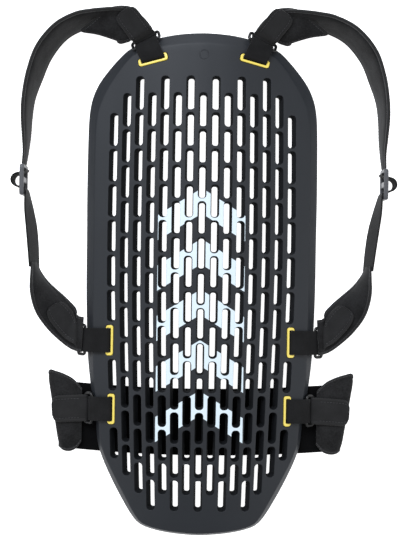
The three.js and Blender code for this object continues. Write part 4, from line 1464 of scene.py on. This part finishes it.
def build_anchor_webbing(anchor, side):
    """The sling: from its tail under the panel up through the eyelet and round the loop's inner bar."""
    here = panel_frame(anchor["hole"][0], anchor["hole"][1], anchor["turn"])
    lift = WEB_THICKNESS / 2 + FIT
    tail = anchor["tail"]
    underside = -float(thickness_at(anchor["hole"][0])) - tail["clear"] - lift
    bend = WEB_BEND
    middle = WINDOW_SHIFT

    def at(u, height):
        return here["base"] + here["heading"] * u + here["rise"] * height

    start = [
        (middle - TAIL_LENGTH, underside - tail["droop"]),
        (middle - 2 * bend, underside),
        (middle - bend / 2, underside + bend / 2),
        (middle, underside + 2 * bend),
        (middle, EYELET_LIP - bend),
        (middle + bend / 3, EYELET_LIP + bend / 2),
    ]
    places = [{"point": at(u, height), "across": here["across"]} for u, height in start]
    turned = around_bar(anchor["bar"], anchor, SLING_WRAP)
    crest = at(middle + 2 * bend, EYELET_LIP + lift + bend / 3)
    steps = 4
    for i in range(steps):
        share = i / steps
        bulge = here["rise"] * CREST_BULGE * math.sin(math.pi * share)
        across = here["across"] * (1 - share) + anchor["across"] * share
        places.append({"point": crest + (turned[0] - crest) * share + bulge, "across": across})
    places += [{"point": point, "across": anchor["across"]} for point in turned]
    places.append({"point": turned[-1] - anchor["heading"] * bend, "across": anchor["across"]})
    build_webbing(f"anchor_webbing_{anchor['name']}_{side_name(side)}", places, STRIP_STEP, side)


# Padded straps
def stitch_row(points, normals):
    """Places of stitches along a line: middle, direction and normal, at the stitch pitch."""
    lengths = chord(points)
    pitch = sizes().stitch_pitch / MM
    places = np.arange(pitch / 2, lengths[-1], pitch)
    step = 0.3
    middle = hermite(lengths, points, places)
    ahead = hermite(lengths, points, np.minimum(places + step, lengths[-1]))
    back = hermite(lengths, points, np.maximum(places - step, 0))
    return middle, unit(ahead - back), unit(hermite(lengths, normals, places))


def add_stitches(name, rows, side):
    """One mesh of short rounded stitches along every row."""
    sides = STITCH_SIDES
    radius = sizes().thread / MM / 2
    half = sizes().stitch_pitch / MM * STITCH_HALF_SHARE
    last = (len(STITCH_SHAPE) - 1) * sides
    points = []
    faces = []
    for middle, run, rise in rows:
        for m, r, n in zip(middle, run, rise):
            across = np.cross(r, n)
            start = len(points)
            for row in STITCH_SHAPE:
                along = row["along"]
                centre = m + r * along * half - n * STITCH_SINK * radius * along**2
                for k in range(sides):
                    angle = 2 * math.pi * k / sides
                    reach = across * math.cos(angle) + n * math.sin(angle)
                    points.append(centre + reach * radius * row["wide"])
            for i in range(0, last, sides):
                faces += band(start + i, start + i + sides, sides)
            faces.append(tuple(start + k for k in reversed(range(sides))))
            faces.append(tuple(start + last + k for k in range(sides)))
    return add_piece(name, points, faces, [finish_of("thread")], side=side)


def edge_stitches(stations, inset, high):
    """Rows of stitching along both edges and both faces of a pad."""
    rows = []
    for hand in (1, -1):
        for face in (1, -1):
            line = []
            normals = []
            for s in stations:
                scale = min(1.0, (s["width"] / 2 - 1.0) / PAD_PROFILE[-1]["inset"])
                across = hand * (s["width"] / 2 - inset * scale)
                line.append(s["centre"] + s["across"] * across + s["through"] * face * high * s["thick"])
                normals.append(s["through"] * face)
            rows.append(stitch_row(np.array(line), np.array(normals)))
    return rows


def build_pad(node, stations, side):
    """A bound pad and the stitching along its edges."""
    piece = sweep(
        f"padded_{node}",
        stations,
        pad_section,
        [finish_of("cover"), finish_of("binding")],
        side,
        nodes=[node],
        slot="pad",
    )
    add_stitches(f"stitching_{node}", edge_stitches(stations, STITCH_INSET, STITCH_LEVEL), side)


def flap_level(y):
    """Height of the shoulder end's middle plane, which slopes up to the strap."""
    return FLAP_LEVEL + FLAP_SLOPE * (y - FLAP_FOOT)


def cut_corners(points, passes, cut):
    """A closed polygon whose corners are cut off again and again."""
    for _ in range(passes):
        ahead = np.roll(points, -1, axis=0)
        pair = np.stack([points * (1 - cut) + ahead * cut, points * cut + ahead * (1 - cut)], axis=1)
        points = pair.reshape(-1, 2)
    return points


def build_flap(side):
    """The three-cornered end of the shoulder pad: a bound cushion that slopes up to the strap."""
    outline = cut_corners(np.array([(row["x"], row["y"]) for row in FLAP]), passes=3, cut=0.2)
    middle = outline.mean(axis=0)
    count = len(outline)
    rise = unit(np.array([0.0, -FLAP_SLOPE, 1.0]))
    profile = [(row["share"], row["high"]) for row in reversed(FLAP_PROFILE)]
    profile += [(row["share"], -row["high"]) for row in FLAP_PROFILE[1:]]
    rings = []
    for share, high in profile:
        flat = middle + (outline - middle) * share
        rings.append(np.column_stack([flat, flap_level(flat[:, 1])]) + rise * high * FLAP_THICKNESS)
    last = len(rings) - 1
    faces = [tuple(range(count))]
    kinds = [0]
    for k in range(last):
        faces += band(k * count, (k + 1) * count, count)
        kinds += [int(max(profile[k][0], profile[k + 1][0]) > FLAP_BINDING)] * count
    faces.append(tuple(reversed(range(last * count, (last + 1) * count))))
    kinds.append(0)
    points = np.vstack(rings)
    uvs = [[(points[c][0], points[c][1]) for c in face] for face in faces]
    cloths = [finish_of("cover"), finish_of("binding")]
    name = f"shoulder_end_{side_name(side)}"
    piece = add_piece(f"padded_{name}", points, faces, cloths, kinds, uvs, side, slot="pad")
    seam = middle + (outline - middle) * FLAP_SEAM["share"]
    seam = np.column_stack([seam, flap_level(seam[:, 1])]) + rise * FLAP_SEAM["high"] * FLAP_THICKNESS
    seam = np.vstack([seam, seam[:1]])
    row = stitch_row(seam, np.tile(rise, (len(seam), 1)))
    add_stitches(f"stitching_{name}", [row], side)


def tab_line(start, heading, length, rise, thick):
    """Straight stations of a flat face that a tab lies on."""
    across = np.cross(rise, heading)
    return [
        {"centre": start + heading * length * share, "across": across, "through": rise, "thick": thick}
        for share in (0.0, 0.5, 1.0)
    ]


def build_tab(node, length, anchor, pad, side, width=WEB_WIDTH):
    """The hook-and-loop tab: under the loop's outer bar, round it and back along the pad."""
    outer_bar = anchor["bar"] + anchor["run"] * WIRE_SPACING
    wrap = around_bar(outer_bar, anchor, TAB_WRAP)
    places = [{"point": point, "across": anchor["across"]} for point in wrap]
    for row in TAB_END:
        s = station_at(pad, row["share"] * length)
        facing = s["across"] if s["across"].dot(anchor["across"]) > 0 else -s["across"]
        high = s["thick"] / 2 + 2 * FIT + TAB_THICKNESS / 2
        point = s["centre"] + s["through"] * high
        places.append({"point": point, "across": facing, "narrow": row["narrow"]})
    stations = strip_stations(smooth_places(places, STRIP_STEP), width, TAB_THICKNESS)
    cloths = [finish_of("tab"), finish_of("binding")]
    sweep(f"sewn_{node}", stations, pad_section, cloths, side, nodes=[node], slot="webbing")
    # Only the part that lies along the pad is sewn, up to where its end narrows
    lying = [s for s in stations[len(stations) // 3 :] if s["width"] > width * 0.6]
    add_stitches(f"stitching_{node}", edge_stitches(lying, TAB_STITCH_INSET, TAB_STITCH_LEVEL), side)


def draped(side):
    """The shoulder strap's rows as the strap really fell: the right one a little wider than the left."""
    return [{**row, "x": row["x"] + shift} for row, shift in zip(SHOULDER, DRAPE[side_name(side)])]


def build_shoulder(side):
    """The shoulder strap, its three-cornered end and the tab that lies on that end."""
    stations = pad_stations(draped(side), outer_hand=1, steps=110)
    build_pad(f"shoulder_strap_{side_name(side)}", stations, side)
    build_flap(side)
    anchor = ANCHORS["top"]
    outer_bar = anchor["bar"] + anchor["run"] * WIRE_SPACING
    rise = unit(np.array([0.0, -FLAP_SLOPE, 1.0]))
    flat = heading_vector(SHOULDER_TAB_TURN)
    heading = unit(flat + UP * flat[1] * FLAP_SLOPE)
    start = np.array([outer_bar[0], outer_bar[1], flap_level(outer_bar[1])])
    line = tab_line(start, heading, SHOULDER_TAB_LENGTH, rise, FLAP_THICKNESS)
    build_tab(f"shoulder_tab_{side_name(side)}", SHOULDER_TAB_LENGTH, anchor, line, side)


def build_lower_pad(side):
    """The lower pad and the tab that folds back along it."""
    stations = pad_stations(LOWER_PAD, outer_hand=-1, steps=60)
    build_pad(f"lower_pad_{side_name(side)}", stations, side)
    build_tab(f"lower_tab_{side_name(side)}", LOWER_TAB_LENGTH, ANCHORS["middle"], stations, side)


def build_wing(side):
    """The belt's wing, which curls over the belt, and its tab."""
    last = len(WING) - 1
    steps = 56
    wider = WING_WIDER[side_name(side)]
    columns = [[row[k] for k in ("x", "y", "z", "turn", "width", "thick")] for row in WING]
    places = []
    for x, y, z, turn, width, thick in hermite(range(last + 1), columns, np.linspace(0, last, steps + 1)):
        x += wider * (x - WING[0]["x"]) / WING_WIDER_OVER
        lean = math.radians(turn)
        across = np.array([math.sin(lean), math.cos(lean), 0.0])
        places.append({"point": np.array([x, y, z]), "across": across, "width": width, "thick": thick})
    stations = strip_stations(places, WING_WIDTH, WING_THICKNESS)
    for station, place in zip(stations, places):
        station["width"] = place["width"]
        station["thick"] = place["thick"]
        station["through"] = -station["through"]
    build_pad(f"belt_wing_{side_name(side)}", stations, side)
    anchor = ANCHORS["low"]
    start = np.array([WING[0]["x"], anchor["bar"][1], WING_ROWS[2]["z"]])
    heading = np.array([1.0, -BELT_TAB_FALL, 0.0])
    length = BELT_TAB_LENGTH + wider
    line = tab_line(start, heading, length, UP, WING_THICKNESS)
    build_tab(f"belt_tab_{side_name(side)}", length, anchor, line, side, BELT_TAB_WIDTH)


def build_belt():
    """The elastic belt, which bows towards the lower end under the panel."""
    stations = []
    for x in np.linspace(-BELT_END, BELT_END, BELT_STATIONS):
        y = BELT_MIDDLE - BELT_BOW * (1 - (x / BELT_END) ** 2)
        stations.append(
            {
                "centre": np.array([x, y, BELT_THICKNESS / 2]),
                "across": np.array([0.0, 1.0, 0.0]),
                "through": UP,
                "width": BELT_WIDTH,
                "thick": BELT_THICKNESS,
            }
        )
    cloth = [finish_of("elastic")]
    sweep("elastic_belt", stations, web_section, cloth, 1, nodes=["waist_belt"], slot="belt")


def build_slider(side):
    """The ladder slider on its edge: a rounded frame with a middle bar."""
    half = SLIDER_BAR / 2
    length = SLIDER_LENGTH - SLIDER_BAR
    height = SLIDER_HEIGHT - SLIDER_SIDE
    centre_y = SLIDER_TOP - SLIDER_LENGTH / 2
    centre = np.array([draped(side)[-1]["x"], centre_y, SLIDER_HEIGHT / 2])
    outline = rounded_outline(length, height, SLIDER_CORNERS["frame"], arc=5, straight=2)
    along = np.array([0.0, 1.0, 0.0])
    facing = np.array([1.0, 0.0, 0.0])
    path = []
    outs = []
    for (u, v), (a, b) in zip(outline, outward_from(outline)):
        path.append(centre + along * u + UP * v)
        # The long bars across the webbing are wide, the two short sides narrow
        wide = half if abs(a) > abs(b) else SLIDER_SIDE / 2
        outs.append((along * a + UP * b) * wide)
    corner = SLIDER_CORNERS["section"]
    section = rounded_outline(2 * half, SLIDER_THICKNESS, corner, arc=3, straight=1)
    section = [(u / half, v) for u, v in section]
    name = f"slider_{side_name(side)}"
    frame_piece = closed_tube(
        f"moulded_{name}",
        path,
        outs,
        facing,
        section,
        finish_of("slider"),
        side,
        nodes=[name],
        slot="slider",
    )
    corner = SLIDER_CORNERS["middle_bar"]
    bar_section = rounded_outline(SLIDER_MIDDLE_BAR, SLIDER_THICKNESS, corner, arc=3, straight=1)
    points = []
    for z in (SLIDER_SIDE / 2, SLIDER_HEIGHT - SLIDER_SIDE / 2):
        points += [centre * np.array([1, 1, 0]) + along * u + facing * v + UP * z for u, v in bar_section]
    count = len(bar_section)
    faces = band(0, count, count)
    faces.append(tuple(reversed(range(count))))
    faces.append(tuple(range(count, 2 * count)))
    add_piece(f"bar_of_{name}", points, faces, [finish_of("slider")], side=side, slot="slider")
    weighted_normals(frame_piece)


def build_adjuster(side):
    """The webbing from the strap's end through the slider, and freely down to the lower pad."""
    strap_end = np.array([draped(side)[-1]["x"], SHOULDER[-1]["y"]])
    arrive = np.array([LOWER_PAD[-1]["x"], LOWER_PAD[-1]["y"] - WEB_TUCK])
    line = [strap_end + np.array([row["x"], row["y"]]) for row in SLIDER_RUN]
    leave = line[-1]
    line += [leave + (arrive - leave) * row["share"] + np.array([row["bow"], 0.0]) for row in FREE_RUN]
    level = WEB_WIDTH / 2 + SLIDER_SIDE + FIT
    leans = [0.0] * len(SLIDER_RUN) + [math.radians(row["lean"]) for row in FREE_RUN]
    places = []
    for (x, y), lean in zip(line, leans):
        across = np.array([math.sin(lean), 0.0, math.cos(lean)])
        places.append({"point": np.array([x, y, level]), "across": across})
    build_webbing(f"adjuster_webbing_{side_name(side)}", places, ADJUSTER_STEP, side)


# Stage
def add_softbox(name, place, target, size, power, colour):
    """A rectangular area light that faces a target."""
    light = bpy.data.lights.new(name, "AREA")
    light.shape = "RECTANGLE"
    light.size, light.size_y = size
    light.energy = power
    light.color = linear(colour)[:3]
    lamp = bpy.data.objects.new(name, light)
    lamp.location = place
    lamp.rotation_euler = (Vector(target) - Vector(place)).to_track_quat("-Z", "Y").to_euler()
    bpy.context.scene.collection.objects.link(lamp)


def add_floor():
    """The board that the protector lies on, at the solids' lowest point."""
    lowest = min(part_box(node)[0].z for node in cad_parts)
    corners = [(u * FLOOR_REACH, v * FLOOR_REACH, lowest) for u, v in ((-1, -1), (1, -1), (1, 1), (-1, 1))]
    mesh = bpy.data.meshes.new("studio_floor")
    mesh.from_pydata(corners, [], [(0, 1, 2, 3)])
    mesh.materials.append(finish_of("floor"))
    floor = bpy.data.objects.new("studio_floor", mesh)
    bpy.context.scene.collection.objects.link(floor)


def build_stage():
    """The floor, a soft even room with three softboxes, and the camera straight above."""
    scene = bpy.context.scene
    add_floor()
    world = bpy.data.worlds.new("soft room")
    scene.world = world
    world.use_nodes = True
    background = world.node_tree.nodes["Background"]
    background.inputs["Color"].default_value = (1.0, 1.0, 1.0, 1.0)
    background.inputs["Strength"].default_value = ROOM_STRENGTH
    for row in LIGHTS:
        add_softbox(**row)

    camera = bpy.data.cameras.new("camera over the protector")
    distance = sizes().camera_distance
    camera.sensor_fit = "VERTICAL"
    camera.angle_y = 2 * math.atan(sizes().view_height / 2 / distance)
    viewer = bpy.data.objects.new("camera over the protector", camera)
    place = Matrix.Translation((VIEW_RIGHT, SHIFT[1] * MM, distance + VIEW_PLANE))
    viewer.matrix_world = place @ Matrix.Rotation(sizes().view_roll, 4, "Z")
    scene.collection.objects.link(viewer)
    scene.camera = viewer
    scene.view_settings.view_transform = "Standard"
    scene.view_settings.look = "None"


# Operators
class ProtectorPanel(bpy.types.Operator):
    """Models the slotted foam panel"""

    bl_idname = "protector.panel"
    bl_label = "Foam panel"

    def execute(self, context):
        build_panel()
        return {"FINISHED"}


class ProtectorAnchors(bpy.types.Operator):
    """Models the eyelets, wire loops and the webbing between them"""

    bl_idname = "protector.anchors"
    bl_label = "Eyelets, loops and webbing"

    def execute(self, context):
        for side in (1, -1):
            for anchor in ANCHORS.values():
                build_eyelet(anchor, side)
                build_loop(anchor, side)
                build_anchor_webbing(anchor, side)
        return {"FINISHED"}


class ProtectorShoulders(bpy.types.Operator):
    """Models the padded shoulder straps and their tabs"""

    bl_idname = "protector.shoulders"
    bl_label = "Shoulder straps"

    def execute(self, context):
        for side in (1, -1):
            build_shoulder(side)
        return {"FINISHED"}


class ProtectorAdjusters(bpy.types.Operator):
    """Models the ladder sliders and the adjuster webbing"""

    bl_idname = "protector.adjusters"
    bl_label = "Sliders and adjusters"

    def execute(self, context):
        for side in (1, -1):
            build_slider(side)
            build_adjuster(side)
        return {"FINISHED"}


class ProtectorLowerPads(bpy.types.Operator):
    """Models the lower strap pads and their tabs"""

    bl_idname = "protector.lower_pads"
    bl_label = "Lower strap pads"

    def execute(self, context):
        for side in (1, -1):
            build_lower_pad(side)
        return {"FINISHED"}


class ProtectorBelt(bpy.types.Operator):
    """Models the waist belt and its wings"""

    bl_idname = "protector.belt"
    bl_label = "Waist belt and wings"

    def execute(self, context):
        build_belt()
        for side in (1, -1):
            build_wing(side)
        return {"FINISHED"}


class ProtectorStage(bpy.types.Operator):
    """Sets the floor, the lights and the camera"""

    bl_idname = "protector.stage"
    bl_label = "Stage"

    def execute(self, context):
        build_stage()
        return {"FINISHED"}


class ProtectorSidebar(bpy.types.Panel):
    bl_idname = "VIEW3D_PT_protector"
    bl_label = "Back protector"
    bl_space_type = "VIEW_3D"
    bl_region_type = "UI"
    bl_category = "Protector"

    def draw(self, context):
        column = self.layout.column()
        for group in (context.scene.protector_sizes, context.scene.protector_colours):
            for name in group.bl_rna.properties.keys():
                if name not in ("rna_type", "name"):
                    column.prop(group, name)
        for operator in OPERATORS:
            column.operator(operator.bl_idname)


OPERATORS = (
    ProtectorPanel,
    ProtectorAnchors,
    ProtectorShoulders,
    ProtectorAdjusters,
    ProtectorLowerPads,
    ProtectorBelt,
    ProtectorStage,
)
CLASSES = (ProtectorSizes, ProtectorColours, *OPERATORS, ProtectorSidebar)


def register():
    """Registers every class and gives each scene its settings."""
    for kind in CLASSES:
        bpy.utils.register_class(kind)
    bpy.types.Scene.protector_sizes = bpy.props.PointerProperty(type=ProtectorSizes)
    bpy.types.Scene.protector_colours = bpy.props.PointerProperty(type=ProtectorColours)


def unregister():
    """Takes back what register did."""
    del bpy.types.Scene.protector_colours
    del bpy.types.Scene.protector_sizes
    for kind in reversed(CLASSES):
        bpy.utils.unregister_class(kind)


def main():
    """Registers the add-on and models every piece."""
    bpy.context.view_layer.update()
    register()
    for operator in OPERATORS:
        group, name = operator.bl_idname.split(".")
        if getattr(getattr(bpy.ops, group), name)() != {"FINISHED"}:
            raise RuntimeError(f"{operator.bl_label} didn't finish")


if __name__ == "__main__":
    main()
